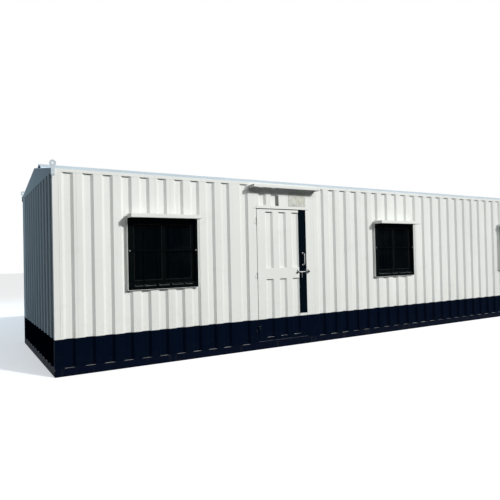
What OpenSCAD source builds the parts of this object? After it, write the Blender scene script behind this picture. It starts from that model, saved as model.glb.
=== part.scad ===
// Steel office container: channel base, trapezoidal pressed wall sheets, low gable roof,
// hooded windows and one hinged door with a sliding bolt.
// Millimetres, +Z up, front towards -Y. The origin is the middle of the footprint at ground level.

/* [Overall] */
// Length over the end walls
length = 12190; // [11400:10:14000]
// Width over the front and back walls
width = 3050; // [2600:10:3600]
// Height of the eaves, at the top of the top rail
eave_h = 2560; // [2450:10:3000]
// Rise of the gable panels from the eaves to their apex
gable_rise = 250; // [180:5:500]

/* [Base and floor] */
// Height of the base channels
base_h = 100; // [80:1:150]
// Width of the base channels' flanges
base_flange = 50; // [40:1:70]
// Thickness of the base channels' webs
base_web_t = 6; // [4:0.5:10]
// Thickness of the base channels' flanges
base_flange_t = 8; // [5:0.5:12]
// Largest spacing of the floor joists
joist_pitch = 900; // [500:10:1500]
// Thickness of the floor deck
deck_t = 18; // [12:1:30]

/* [Posts and top rails] */
// Leg of the corner angles
post_leg = 75; // [60:1:85]
// Thickness of the corner angles
post_t = 6; // [4:0.5:10]
// Height of the top rails
top_rail_h = 40; // [30:1:60]
// Width of the top rails
top_rail_w = 60; // [40:1:80]
// Wall thickness of the top rails
top_rail_t = 4; // [3:0.5:8]

/* [Wall sheets] */
// Thickness of the pressed sheet
sheet_t = 3; // [2:0.5:5]
// Spacing of the troughs
trough_pitch = 250; // [200:1:320]
// Distance from a corner to the first trough's centre
trough_first = 160; // [160:1:200]
// Width of a trough at the face of the wall
trough_mouth = 143; // [110:1:149]
// Width of a trough's flat bottom
trough_floor = 75; // [40:1:100]
// Depth of a trough
trough_depth = 30; // [20:1:45]

/* [Lining] */
// Thickness of the insulated wall lining
lining_t = 42; // [30:1:80]
// Distance of the ceiling below the top rails
ceiling_drop = 82; // [40:1:150]
// Thickness of the ceiling boards
ceiling_t = 12; // [6:1:25]

/* [Windows] */
// Centre of the left window, from the left end
window_left_x = 1420; // [800:10:2100]
// Centre of the middle window, from the left end
window_middle_x = 5910; // [4900:10:7000]
// Centre of the right window, from the right end
window_right_in = 2500; // [800:10:3200]
// Width of a window over its surround
window_w = 1015; // [800:5:1200]
// Height of a window over its surround
window_h = 970; // [700:5:1050]
// Height of the windows' underside
window_sill_h = 1010; // [900:5:1150]
// How far a window's surround stands out from the wall
surround_proj = 28; // [20:1:80]
// Thickness of a window's surround
surround_t = 4; // [3:0.5:12]
// Face width of a window frame's sides and top
frame_bar = 34; // [18:1:45]
// Height of a window frame's foot
frame_foot = 70; // [40:1:90]
// How far a window frame sits behind the surround's edge
frame_setback = 3; // [2:1:12]
// Thickness of the web between the two tracks of a window frame
track_web = 4; // [2:1:8]
// Depth of a sliding sash
sash_depth = 20; // [14:1:28]
// Face width of a sash's bars
sash_bar = 52; // [26:1:60]
// Width over which the two sashes pass each other
sash_lap = 52; // [26:1:60]
// Thickness of the glass
glass_t = 6; // [4:1:12]
// Height of the guard bar across a window
guard_h = 16; // [8:1:30]
// Depth of the guard bar
guard_d = 10; // [6:1:16]
// Distance of the guard bar above the middle of the frame's opening
guard_lift = 21; // [0:1:60]

/* [Hoods] */
// How far the window hoods stand out from the wall
window_hood_proj = 200; // [110:5:250]
// How far the door hood stands out from the wall
door_hood_proj = 155; // [110:5:250]
// Thickness of the hoods' sheet
hood_t = 3; // [2:0.5:6]
// Distance of a window hood's sides inside the surround's sides
hood_in = 5; // [0:1:40]
// Height of a window hood's front
window_hood_h = 49; // [40:1:80]
// Height of a window hood's top plate above the surround
window_hood_lift = 33; // [0:1:60]
// Width of the door hood
door_hood_w = 1260; // [1150:5:1400]
// Distance of the door hood's middle to the right of the door's middle
door_hood_shift = 35; // [0:5:60]
// Height of the door hood's front
door_hood_h = 40; // [30:1:80]
// Gap between the door hood's top and the top rail
door_hood_drop = 8; // [5:1:40]

/* [Door] */
// Left edge of the door leaf, from the left end
door_x = 2937; // [2850:1:3100]
// Width of the door leaf
door_w = 933; // [850:1:1000]
// Height of the wall sheet over the door
header_h = 307; // [250:1:420]
// Distance of the front wall's first trough from the left end
front_first = 177; // [150:1:190]
// Spacing of the troughs in the front wall left of the door
front_pitch = 246.5; // [240:0.5:260]
// Distance of the last trough left of the door from the door frame
door_left_in = 170; // [150:1:190]
// Distance of the first trough right of the door from the door frame
door_right_in = 262; // [240:1:280]
// Distance from the left edge of the sheet over the door to its first trough's centre
header_first_in = 160; // [140:1:190]
// Spacing of the troughs in the sheet over the door
header_pitch = 230; // [200:1:260]
// Thickness of the door leaf
door_t = 40; // [36:1:50]
// Gap beside and below the door leaf
door_gap = 5; // [5:0.5:8]
// Gap above the door leaf
head_gap = 9; // [5:0.5:12]
// Face width of the door jambs and head
jamb_w = 50; // [48:1:60]
// Depth of the pressed panels in the leaf
panel_depth = 24; // [12:1:28]
// Height of the lower panels' bottom above the leaf's bottom
panel_low_z = 50; // [30:1:120]
// Height of the lower panels
panel_low_h = 895; // [700:5:920]
// Height of the flat lock rail between the panels
lock_rail_h = 170; // [160:5:300]
// Distance of the upper panels' top below the leaf's top
panel_top_margin = 38; // [25:1:80]

/* [Hinges] */
// Radius of a hinge knuckle
knuckle_r = 10; // [9:0.5:14]
// Radius of a hinge pin
pin_r = 6; // [4:0.5:7]
// Radial clearance of a hinge pin
pin_clear = 0.2; // [0.1:0.05:0.4]
// Length of one hinge knuckle
knuckle_l = 50; // [35:1:70]
// Distance of the hinge axis in front of the leaf
hinge_out = 12; // [12:0.5:18]
// Thickness of the hinge plates
hinge_plate_t = 4; // [3:0.5:6]
// Width of the hinge plates
hinge_plate_w = 38; // [25:1:45]
// Distance of the end hinges from the leaf's ends
hinge_inset = 180; // [120:5:300]
// Gap between the two knuckles of a hinge
knuckle_gap = 0.5; // [0.3:0.1:1]

/* [Bolt and handle] */
// Radius of the bolt's rod
bolt_r = 7; // [5:0.5:9]
// Radial clearance of the rod in its guides
bolt_clear = 0.4; // [0.3:0.05:0.8]
// Height of the bolt above the lock rail's lower edge
bolt_lift = 95; // [60:1:110]
// Throw of the bolt
bolt_throw = 45; // [36:1:50]
// Length of the bolt's rod
bolt_l = 196; // [170:1:220]
// Distance of the rod's axis from the leaf's face
bolt_out = 20; // [18:0.5:26]
// Distance of the rod's tip inside the leaf's edge
bolt_tip_in = 4; // [3:0.5:8]
// Length of the rod's tip past the keeper's middle when it is thrown
bolt_engage = 9; // [4:0.5:12]
// Distance of the guides from the rod's ends
guide_near = 13; // [8:1:18]
// Width of a guide along the rod
guide_w = 15; // [10:1:20]
// Thickness of a guide around the rod
guide_wall = 6; // [4:0.5:9]
// Width of the keeper along the rod
keeper_w = 34; // [30:1:36]
// Distance of the bolt's hanging grip from the rod's tip
grip_from_tip = 90; // [86:1:100]
// Width of the bolt's hanging grip
grip_w = 20; // [14:1:24]
// Length of the bolt's hanging grip
grip_l = 95; // [60:1:110]
// Thickness of the bolt's hanging grip
grip_t = 8; // [6:0.5:12]
// Radius of the pull handle's bar
handle_r = 8; // [6:0.5:11]
// Height of the pull handle between its bar ends
handle_l = 190; // [150:5:260]
// Distance of the handle's bar from the leaf's face
handle_out = 46; // [44:1:75]
// Bend radius of the pull handle
handle_bend = 36; // [22:1:40]
// Height of the handle's middle above the leaf's bottom
handle_h = 1245; // [1200:1:1320]
// Distance of the handle from the leaf's free edge
handle_in = 65; // [30:1:80]

/* [Vent panel] */
// Width of the vent panel
vent_w = 340; // [250:5:360]
// Height of the vent panel
vent_h = 215; // [150:5:240]
// Thickness of the vent panel
vent_t = 3; // [2:0.5:6]

/* [Roof] */
// Thickness of the roof and gable sheets
roof_t = 3; // [2:0.5:6]
// Depth of the pressed troughs in the roof
roof_trough_depth = 14; // [8:1:24]
// Flat margin of a roof sheet along the eaves
roof_eave_flat = 160; // [110:5:260]
// Flat margin of a roof sheet along the ridge
roof_ridge_flat = 260; // [230:5:360]
// Half the width of the ridge cap
ridge_half_w = 200; // [140:5:225]
// Height of the ridge cap's lips
ridge_lip = 24; // [15:1:40]
// Height of the ridge cap's fold above the gables' apex
ridge_top = 70; // [55:1:110]
// Clearance under the ridge cap's lips
ridge_seat = 0.1; // [0.05:0.05:0.5]
// Distance of the ridge cap's ends from the end walls
ridge_inset = 60; // [20:5:150]

/* [Lifting lugs] */
// Radius of a lug's round head
lug_r = 40; // [30:1:45]
// Radius of a lug's eye
lug_eye_r = 12.5; // [8:0.5:18]
// Thickness of a lug's plate
lug_t = 12; // [8:1:20]
// Height of the eye above the eaves
lug_rise = 62; // [55:1:90]
// Length of a lug's shank below the eaves
lug_drop = 85; // [60:5:220]
// Width of a lug's shank
lug_shank_w = 43; // [36:1:60]
// Distance of a lug's middle from the corner
lug_in = 10; // [8:1:35]

/* [Hidden] */

$fn = 48;
// Amount by which a cutter runs past the faces it cuts
cut = 1;

white = [0.90, 0.91, 0.89];
navy = [0.05, 0.07, 0.16];
roof_blue = [0.80, 0.86, 0.91];
black = [0.04, 0.04, 0.05];
steel = [0.78, 0.79, 0.80];
board = [0.82, 0.76, 0.66];

// Heights that the pieces share
deck_top = base_h + deck_t;
sheet_top = eave_h - top_rail_h;
ceiling_z = sheet_top - ceiling_drop;
sheet_depth = trough_depth + sheet_t;
lining_in = sheet_depth + lining_t;

// The door opening, the hinge axis and the jambs
leaf_z = deck_top + door_gap;
head_top = sheet_top - header_h;
head_z = head_top - jamb_w;
door_h = head_z - head_gap - leaf_z;
jamb_left_in = door_x - door_gap;
jamb_right_in = door_x + door_w + door_gap;
jamb_left_out = jamb_left_in - jamb_w;
jamb_right_out = jamb_right_in + jamb_w;
door_mid = door_x + door_w / 2;
header_first = jamb_left_out + header_first_in;
door_left_trough = jamb_left_out - door_left_in;
vent_x = jamb_right_in - vent_w;
hinge_x = door_x - door_gap / 2;
hinge_span = door_h - 2 * hinge_inset;
hinge_count = 3;

// The bolt at rest is drawn back inside the leaf's edge
bolt_tip_x = door_x + door_w - bolt_tip_in;
bolt_z = leaf_z + panel_low_z + panel_low_h + bolt_lift;
keeper_x = bolt_tip_x + bolt_throw - bolt_engage - keeper_w / 2;

// The roof's slope, from the eaves to the gables' apex
half_w = width / 2;
slope = atan(gable_rise / half_w);
slope_l = half_w / cos(slope);
roof_skin = roof_t / cos(slope);
// A sheet's upper edge at the eaves is plumb with the wall
eave_start = roof_t * tan(slope);

window_centres = [window_left_x, window_middle_x, length - window_right_in];
window_top = window_sill_h + window_h;
// The frame holds the guard bar and, behind it, one track for each sash
track_in = surround_t + frame_bar;
track_z = window_sill_h + surround_t + frame_foot;
track_w = window_w - 2 * track_in;
track_h = window_top - track_in - track_z;
guard_z = track_z + track_h / 2 + guard_lift;
frame_y = frame_setback - surround_proj;
sash_ys = [frame_y + guard_d + track_web, frame_y + guard_d + 2 * track_web + sash_depth];
frame_depth = guard_d + 3 * track_web + 2 * sash_depth;
sash_w = (track_w + sash_lap) / 2;

joist_bays = 2 * ceil(length / (2 * joist_pitch));
post_h = sheet_top - base_h;

// Sets a piece that is drawn from the front left corner around the middle of the footprint
module placed() translate([-length / 2, -width / 2, 0]) children();

// A box from its lowest to its highest corner
module block(a, b) translate(a) cube([b[0] - a[0], b[1] - a[1], b[2] - a[2]]);

// A profile in Y and Z, carried along X from x0 to x1
module along_x(x0, x1) translate([x0, 0, 0]) rotate([90, 0, 90]) linear_extrude(x1 - x0) children();

// A profile in X and Z, carried along Y from y0 to y1
module along_y(y0, y1) translate([0, y1, 0]) rotate([90, 0, 0]) linear_extrude(y1 - y0) children();

// The same piece on the other long side, or on the other end
module at_back() translate([0, width, 0]) mirror([0, 1, 0]) children();
module at_right() translate([length, 0, 0]) mirror([1, 0, 0]) children();
// A piece of the front, turned onto the left end
module at_left() mirror([1, -1, 0]) children();

// Base channel with its web outwards
module channel_2d() difference() {
    square([base_flange, base_h]);
    translate([base_web_t, base_flange_t]) square([base_flange, base_h - 2 * base_flange_t]);
}

module base_rail() along_x(0, length) channel_2d();
module base_end_rail() along_y(base_flange, width - base_flange) channel_2d();

module base_rail_front() color(navy) placed() base_rail();
module base_rail_back() color(navy) placed() at_back() base_rail();
module base_rail_left() color(navy) placed() base_end_rail();
module base_rail_right() color(navy) placed() at_right() base_end_rail();

// Cross channels between the long base rails, one of them under the middle
module floor_joists() color(navy) placed()
    for (i = [1 : joist_bays - 1])
        translate([i * length / joist_bays - base_flange / 2, 0, 0])
            along_y(base_flange, width - base_flange) channel_2d();

module floor_deck() color(board) placed()
    block([sheet_depth, sheet_depth, base_h],
        [length - sheet_depth, width - sheet_depth, deck_top]);

module corner_post() translate([0, 0, base_h]) linear_extrude(post_h) difference() {
    square(post_leg);
    translate([post_t, post_t]) square(post_leg);
}

module corner_posts() color(white) placed() {
    corner_post();
    at_right() corner_post();
    at_back() corner_post();
    at_back() at_right() corner_post();
}

// Hollow top rail
module top_rail_2d() translate([0, sheet_top]) difference() {
    square([top_rail_w, top_rail_h]);
    translate([top_rail_t, top_rail_t])
        square([top_rail_w - 2 * top_rail_t, top_rail_h - 2 * top_rail_t]);
}

module top_rail() along_x(0, length) top_rail_2d();
module top_end_rail() along_y(top_rail_w, width - top_rail_w) top_rail_2d();

module top_rail_front() color(white) placed() top_rail();
module top_rail_back() color(white) placed() at_back() top_rail();
module top_rail_left() color(white) placed() top_end_rail();
module top_rail_right() color(white) placed() at_right() top_end_rail();

// Lifting lug: a round-headed plate with an eye, welded flat on the corner's face
module lug() along_y(-lug_t, 0) difference() {
    union() {
        translate([lug_in, eave_h + lug_rise]) circle(lug_r);
        translate([lug_in - lug_shank_w / 2, eave_h - lug_drop]) square([lug_shank_w, lug_drop + lug_rise]);
    }
    translate([lug_in, eave_h + lug_rise]) circle(lug_eye_r);
}

module lifting_lugs() color(white) placed() {
    lug();
    at_right() lug();
    at_back() lug();
    at_back() at_right() lug();
}

// Centres of the troughs, counted from the first one, that fit whole between two places along a wall
function trough_centres(a, b, first = trough_first, pitch = trough_pitch) = [
    for (s = [first : pitch : b])
        if (s - trough_mouth / 2 >= a && s + trough_mouth / 2 <= b) s
];

// The pressed face from a to b with troughs at the centres, as places along the wall and depths
function pressed_face(a, b, depth, centres) = concat(
    [[a, 0]],
    [for (s = centres) each [
        [s - trough_mouth / 2, 0], [s - trough_floor / 2, depth],
        [s + trough_floor / 2, depth], [s + trough_mouth / 2, 0]]],
    [[b, 0]]);

// A sheet's section: the pressed face, and the same face one thickness further in
module pressed_2d(a, b, depth, thickness, centres) {
    face = pressed_face(a, b, depth, centres);
    last = len(face) - 1;
    polygon(concat(face, [for (i = [last : -1 : 0]) face[i] + [0, thickness]]));
}

// A standing sheet from a to b, up to the top rail
module wall_sheet(a, b, z0, centres) translate([0, 0, z0]) linear_extrude(sheet_top - z0)
    pressed_2d(a, b, trough_depth, sheet_t, centres);

// A whole wall from a to b, from the base to the top rail
module wall(a, b) wall_sheet(a, b, base_h, trough_centres(a, b));

// Troughs of the front wall left of the door, of which the last one keeps to the door frame
left_centres = concat(
    trough_centres(post_leg, door_left_trough - trough_mouth, front_first, front_pitch),
    [door_left_trough]);

// Cutters for the windows, from in front of the wall to the inside of the room
module window_cuts() for (x = window_centres)
    block([x - window_w / 2, -cut, window_sill_h], [x + window_w / 2, lining_in + cut, window_top]);

module front_wall_left() color(white) placed() difference() {
    wall_sheet(post_leg, jamb_left_out, base_h, left_centres);
    window_cuts();
}

module front_wall_right() color(white) placed() difference() {
    wall_sheet(jamb_right_out, length - post_leg, base_h,
        trough_centres(jamb_right_out, length - post_leg, jamb_right_out + door_right_in));
    window_cuts();
}

// The sheet over the door is flat behind the vent panel
module front_wall_header() color(white) placed()
    wall_sheet(jamb_left_out, jamb_right_out, head_top,
        trough_centres(jamb_left_out, vent_x, header_first, header_pitch));

module back_wall() color(white) placed() at_back() wall(post_leg, length - post_leg);

module end_sheet() at_left() wall(post_leg, width - post_leg);
module left_end_wall() color(white) placed() end_sheet();
module right_end_wall() color(white) placed() at_right() end_sheet();

// Insulated lining boards behind the sheets
module lining(a, b, z0) block([a, sheet_depth, z0], [b, lining_in, ceiling_z]);

module front_lining_left() color(board) placed() difference() {
    lining(sheet_depth, jamb_left_out, deck_top);
    window_cuts();
}

module front_lining_right() color(board) placed() difference() {
    lining(jamb_right_out, length - sheet_depth, deck_top);
    window_cuts();
}

module front_lining_header() color(board) placed() lining(jamb_left_out, jamb_right_out, head_top);
module back_lining() color(board) placed() at_back() lining(sheet_depth, length - sheet_depth, deck_top);

module end_lining() at_left() lining(lining_in, width - lining_in, deck_top);
module left_end_lining() color(board) placed() end_lining();
module right_end_lining() color(board) placed() at_right() end_lining();

module ceiling() color(white) placed()
    block([sheet_depth, sheet_depth, ceiling_z],
        [length - sheet_depth, width - sheet_depth, ceiling_z + ceiling_t]);

// A window's section in X and Z, drawn in from its outside by some margin
module window_2d(margin) translate([margin - window_w / 2, window_sill_h + margin])
    square([window_w - 2 * margin, window_h - 2 * margin]);

// Box that lines the opening and stands out from the wall
module window_surrounds() color(white) placed() for (x = window_centres)
    translate([x, 0, 0]) along_y(-surround_proj, lining_in) difference() {
        window_2d(0);
        window_2d(surround_t);
    }

// Outer frame with a deep foot, and the guard bar across its front
module window_frames() color(black) placed() for (x = window_centres) translate([x, 0, 0]) {
    along_y(frame_y, frame_y + frame_depth) difference() {
        window_2d(surround_t);
        translate([-track_w / 2, track_z]) square([track_w, track_h]);
    }
    along_y(frame_y, frame_y + guard_d)
        translate([-track_w / 2, guard_z - guard_h / 2]) square([track_w, guard_h]);
}

// Outline of the left (-1) or right (1) sash in X and Z, drawn in by some margin
module sash_2d(side, margin)
    translate([side * (track_w - sash_w) / 2 - sash_w / 2 + margin, track_z + margin])
    square([sash_w - 2 * margin, track_h - 2 * margin]);

// The left sash runs in the front track and the right one behind it
module window_sashes() color(black) placed() for (x = window_centres, i = [0, 1])
    translate([x, 0, 0]) along_y(sash_ys[i], sash_ys[i] + sash_depth) difference() {
        sash_2d(2 * i - 1, 0);
        sash_2d(2 * i - 1, sash_bar);
    }

module window_glass() color(black) placed() for (x = window_centres, i = [0, 1])
    translate([x, (sash_depth - glass_t) / 2, 0]) along_y(sash_ys[i], sash_ys[i] + glass_t)
        sash_2d(2 * i - 1, sash_bar);

// Folded hood, open below and towards the wall
module hood(x0, x1, top, front_h, proj) difference() {
    block([x0, -proj, top - front_h], [x1, 0, top]);
    block([x0 + hood_t, hood_t - proj, top - front_h - cut], [x1 - hood_t, cut, top - hood_t]);
}

// A window hood stands over the surround, and its sides end at the surround's front edge
module window_hoods() color(white) placed() for (x = window_centres) difference() {
    hood(x - window_w / 2 + hood_in, x + window_w / 2 - hood_in,
        window_top + window_hood_lift + hood_t, window_hood_h, window_hood_proj);
    block([x - window_w / 2, -surround_proj, window_sill_h], [x + window_w / 2, cut, window_top]);
}

door_hood_top = sheet_top - door_hood_drop;
door_hood_mid = door_mid + door_hood_shift;

module door_hood() color(white) placed()
    hood(door_hood_mid - door_hood_w / 2, door_hood_mid + door_hood_w / 2,
        door_hood_top, door_hood_h, door_hood_proj);

module door_jambs() color(white) placed() {
    block([jamb_left_out, 0, deck_top], [jamb_left_in, lining_in, head_top]);
    block([jamb_right_in, 0, deck_top], [jamb_right_out, lining_in, head_top]);
}

module door_head() color(white) placed()
    block([jamb_left_in, 0, head_z], [jamb_right_in, lining_in, head_top]);

module door_sill() color(navy) placed()
    block([jamb_left_out, 0, base_h], [jamb_right_out, sheet_depth, deck_top]);

// Flat plate over a vent in the sheet above the door, in line with the right jamb's inner face
module vent_panel() color(steel) placed()
    block([vent_x, -vent_t, head_top], [jamb_right_in, 0, head_top + vent_h]);

// Bottom of each hinge's fixed knuckle
hinge_bottoms = [for (i = [0 : hinge_count - 1])
    leaf_z + hinge_inset + i * hinge_span / (hinge_count - 1) - knuckle_l];

// One knuckle at the hinge axis, with a plate that reaches to one side (-1 left, 1 right)
module knuckle(side) {
    translate([hinge_x, -hinge_out, 0]) cylinder(h = knuckle_l - knuckle_gap, r = knuckle_r);
    edge = hinge_x + side * (hinge_plate_w + door_gap / 2);
    block([min(hinge_x, edge), -hinge_plate_t, 0],
        [max(hinge_x, edge), 0, knuckle_l - knuckle_gap]);
}

// Fixed halves of the hinges with their pins
module door_hinges() color(steel) placed() for (z = hinge_bottoms) translate([0, 0, z]) {
    knuckle(-1);
    translate([hinge_x, -hinge_out, 0]) cylinder(h = 2 * knuckle_l, r = pin_r);
}

// The pressed panels are in line with the troughs of the wall
panel_centres = trough_centres(door_x, door_x + door_w);
panel_high_z = panel_low_z + panel_low_h + lock_rail_h;
panel_high_h = door_h - panel_top_margin - panel_high_z;

module panel_cut(s, z0, h) translate([s, 0, leaf_z + z0]) linear_extrude(h)
    polygon([[-trough_mouth / 2, -cut], [trough_mouth / 2, -cut], [trough_mouth / 2, 0],
        [trough_floor / 2, panel_depth], [-trough_floor / 2, panel_depth], [-trough_mouth / 2, 0]]);

module door_leaf() color(white) placed() difference() {
    union() {
        block([door_x, 0, leaf_z], [door_x + door_w, door_t, leaf_z + door_h]);
        for (z = hinge_bottoms) translate([0, 0, z + knuckle_l]) knuckle(1);
    }
    for (s = panel_centres) {
        panel_cut(s, panel_low_z, panel_low_h);
        panel_cut(s, panel_high_z, panel_high_h);
    }
    for (z = hinge_bottoms) translate([hinge_x, -hinge_out, z])
        cylinder(h = 2 * knuckle_l + cut, r = pin_r + pin_clear);
}

// Pull handle: a bar bent square at both ends
module handle_leg() {
    translate([0, -handle_out + handle_bend, 0]) rotate([-90, 0, 0])
        cylinder(h = handle_out - handle_bend, r = handle_r);
    translate([0, -handle_out + handle_bend, -handle_bend]) rotate([90, 0, -90])
        rotate_extrude(angle = 90) translate([handle_bend, 0]) circle(handle_r);
}

module door_handle() color(steel) placed()
    translate([door_x + door_w - handle_in, 0, leaf_z + handle_h]) {
        translate([0, 0, handle_l / 2]) handle_leg();
        mirror([0, 0, 1]) translate([0, 0, handle_l / 2]) handle_leg();
        translate([0, -handle_out, handle_bend - handle_l / 2])
            cylinder(h = handle_l - 2 * handle_bend, r = handle_r);
    }

// Sliding rod with a flat grip that hangs from it
module door_bolt() color(steel) placed() {
    translate([bolt_tip_x - bolt_l, -bolt_out, bolt_z]) rotate([0, 90, 0]) cylinder(h = bolt_l, r = bolt_r);
    block([bolt_tip_x - grip_from_tip - grip_w, -bolt_out - grip_t / 2, bolt_z - grip_l],
        [bolt_tip_x - grip_from_tip, -bolt_out + grip_t / 2, bolt_z]);
}

// Block on the face of the door or the frame, bored for the rod
module rod_block(x, w) difference() {
    block([x, -bolt_out - bolt_r - guide_wall, bolt_z - bolt_r - guide_wall],
        [x + w, 0, bolt_z + bolt_r + guide_wall]);
    translate([x - cut, -bolt_out, bolt_z]) rotate([0, 90, 0])
        cylinder(h = w + 2 * cut, r = bolt_r + bolt_clear);
}

module bolt_guides() color(steel) placed() {
    rod_block(bolt_tip_x - guide_near - guide_w, guide_w);
    rod_block(bolt_tip_x - bolt_l + guide_near, guide_w);
}

module bolt_keeper() color(steel) placed() rod_block(keeper_x, keeper_w);

// Triangular panel over an end rail
module gable() along_x(0, roof_t)
    polygon([[0, eave_h], [width, eave_h], [half_w, eave_h + gable_rise]]);

module gable_left() color(white) placed() gable();
module gable_right() color(white) placed() at_right() gable();

// Sheet of one slope, pressed into troughs that stop short of the eaves and the ridge.
// The flat margins run over the closed ends of the troughs.
module roof_sheet() translate([0, 0, eave_h]) rotate([slope, 0, 0]) {
    trough_end = slope_l - roof_ridge_flat;
    block([0, eave_start, 0], [length, roof_eave_flat + roof_t, roof_t]);
    block([0, trough_end - roof_t, 0], [length, slope_l, roof_t]);
    along_y(roof_eave_flat, trough_end) mirror([0, 1])
        translate([0, -roof_t]) pressed_2d(0, length, roof_trough_depth, roof_t, trough_centres(0, length));
    for (s = trough_centres(0, length), y = [roof_eave_flat, trough_end - roof_t])
        block([s - trough_mouth / 2, y, roof_t - roof_trough_depth - roof_t],
            [s + trough_mouth / 2, y + roof_t, roof_t]);
}

module roof_front() color(roof_blue) placed() roof_sheet();
module roof_back() color(roof_blue) placed() at_back() roof_sheet();

// Folded cap over the ridge, standing on lips that are cut to the slope
lip_z = eave_h + gable_rise * (1 - ridge_half_w / half_w) + roof_skin + ridge_seat;
lip_top = lip_z + ridge_lip;
lip_in = ridge_half_w - roof_t;
fold_z = eave_h + gable_rise + ridge_top;

module ridge_cap() color(roof_blue) placed() along_x(ridge_inset, length - ridge_inset)
    translate([half_w, 0]) polygon([
        [-ridge_half_w, lip_z], [-ridge_half_w, lip_top], [0, fold_z],
        [ridge_half_w, lip_top], [ridge_half_w, lip_z], [lip_in, lip_z + eave_start],
        [lip_in, lip_top - roof_t], [0, fold_z - roof_t],
        [-lip_in, lip_top - roof_t], [-lip_in, lip_z + eave_start]]);

base_rail_front();
base_rail_back();
base_rail_left();
base_rail_right();
floor_joists();
floor_deck();
corner_posts();
top_rail_front();
top_rail_back();
top_rail_left();
top_rail_right();
lifting_lugs();
front_wall_left();
front_wall_right();
front_wall_header();
back_wall();
left_end_wall();
right_end_wall();
front_lining_left();
front_lining_right();
front_lining_header();
back_lining();
left_end_lining();
right_end_lining();
ceiling();
window_surrounds();
window_frames();
window_sashes();
window_glass();
window_hoods();
door_jambs();
door_head();
door_sill();
door_hood();
vent_panel();
door_leaf();
door_hinges();
door_handle();
door_bolt();
bolt_guides();
bolt_keeper();
gable_left();
gable_right();
roof_front();
roof_back();
ridge_cap();
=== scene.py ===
"""Looks of a long steel office container: its finishes, small fittings, light and camera.

Everything is in metres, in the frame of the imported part: the origin is the middle of the footprint at
ground level, +X runs along the length to the right end, -Y faces the side with the door, and +Z is up.
"""

import logging
import math
from abc import ABC, abstractmethod
from dataclasses import dataclass
from enum import Enum
from functools import cached_property
from typing import Mapping, Optional, Sequence, Union

import bmesh
import bpy
import numpy as np
from mathutils import Matrix, Vector


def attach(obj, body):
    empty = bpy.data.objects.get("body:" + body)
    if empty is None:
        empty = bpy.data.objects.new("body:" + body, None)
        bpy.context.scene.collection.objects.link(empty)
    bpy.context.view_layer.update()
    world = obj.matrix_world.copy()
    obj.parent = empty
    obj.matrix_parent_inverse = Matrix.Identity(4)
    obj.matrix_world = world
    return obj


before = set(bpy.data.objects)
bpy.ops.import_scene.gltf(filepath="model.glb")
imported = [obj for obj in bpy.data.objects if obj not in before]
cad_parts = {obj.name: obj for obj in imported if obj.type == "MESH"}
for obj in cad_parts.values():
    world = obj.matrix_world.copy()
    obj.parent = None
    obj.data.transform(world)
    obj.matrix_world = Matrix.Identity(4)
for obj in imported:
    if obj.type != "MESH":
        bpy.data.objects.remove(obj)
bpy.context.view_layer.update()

LOG = logging.getLogger("office_container")

Array = np.ndarray
Number = Union[int, float]
Pair = tuple[float, float]
Triple = tuple[float, float, float]
Colour = Triple
Places = Union[Array, float]

OFF_WHITE: Colour = (0.80, 0.815, 0.79)
NAVY: Colour = (0.0012, 0.0037, 0.0114)
BASE_NAVY: Colour = (0.0008, 0.0028, 0.0105)
BAND_TOP = 0.457
HALF_LENGTH = 6.095
HALF_WIDTH = 1.525
PAINT_IOR = 1.45
OUT: Triple = (0.0, -1.0, 0.0)
UP: Triple = (0.0, 0.0, 1.0)


class Value:
    """A number or a colour that changes over a surface: one output socket of a node tree."""

    def __init__(self, graph: "Graph", socket: bpy.types.NodeSocket) -> None:
        """Keeps the socket and the graph that it belongs to."""
        self.graph = graph
        self.socket = socket

    def _maths(self, operation: str, first: "Operand", second: "Operand" = 0.0) -> "Value":
        """Result of one Math node on two operands."""
        return self.graph.pick("ShaderNodeMath", 0, {"operation": operation}, {0: first, 1: second})

    def __add__(self, other: "Operand") -> "Value":
        """Sum of two values."""
        return self._maths("ADD", self, other)

    __radd__ = __add__

    def __sub__(self, other: "Operand") -> "Value":
        """This value less another."""
        return self._maths("SUBTRACT", self, other)

    def __rsub__(self, other: "Operand") -> "Value":
        """Another value less this one."""
        return self._maths("SUBTRACT", other, self)

    def __mul__(self, other: "Operand") -> "Value":
        """Product of two values."""
        return self._maths("MULTIPLY", self, other)

    __rmul__ = __mul__

    def __truediv__(self, other: "Operand") -> "Value":
        """This value divided by another."""
        return self._maths("DIVIDE", self, other)

    def __mod__(self, other: "Operand") -> "Value":
        """Rest of this value over a pitch, never negative."""
        return self._maths("FLOORED_MODULO", self, other)

    def __abs__(self) -> "Value":
        """Distance from zero."""
        return self._maths("ABSOLUTE", self)

    def most(self, other: "Operand") -> "Value":
        """The greater of two values."""
        return self._maths("MAXIMUM", self, other)

    def least(self, other: "Operand") -> "Value":
        """The smaller of two values."""
        return self._maths("MINIMUM", self, other)

    def rise(self, low: Number, high: Number) -> "Value":
        """A smooth step.

        Args:
            low: value at which the step is still 0.
            high: value from which the step is 1; below low for a falling step.

        Returns:
            The step, from 0 to 1.
        """
        start, end = (0.0, 1.0) if low < high else (1.0, 0.0)
        return self.graph.pick(
            "ShaderNodeMapRange", "Result", {"interpolation_type": "SMOOTHSTEP"},
            {"Value": self, "From Min": min(low, high), "From Max": max(low, high),
             "To Min": start, "To Max": end})

    def near(self, centre: Number, half: Number) -> "Value":
        """A smooth hump of 1 at a place, falling to 0 over half its width."""
        return abs(self - centre).rise(half, 0.0)

    def within(self, low: Number, high: Number, soft: Number) -> "Value":
        """A plateau of 1 between two places, with soft edges."""
        return self.rise(low - soft, low + soft) * self.rise(high + soft, high - soft)

    def over(self, least: Number) -> "Value":
        """This mask from 0 to 1, drawn up to start at a least value."""
        return least + (1.0 - least) * self if least else self


Operand = Union[Value, Number]
Paint = Union[Value, Colour]


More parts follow.
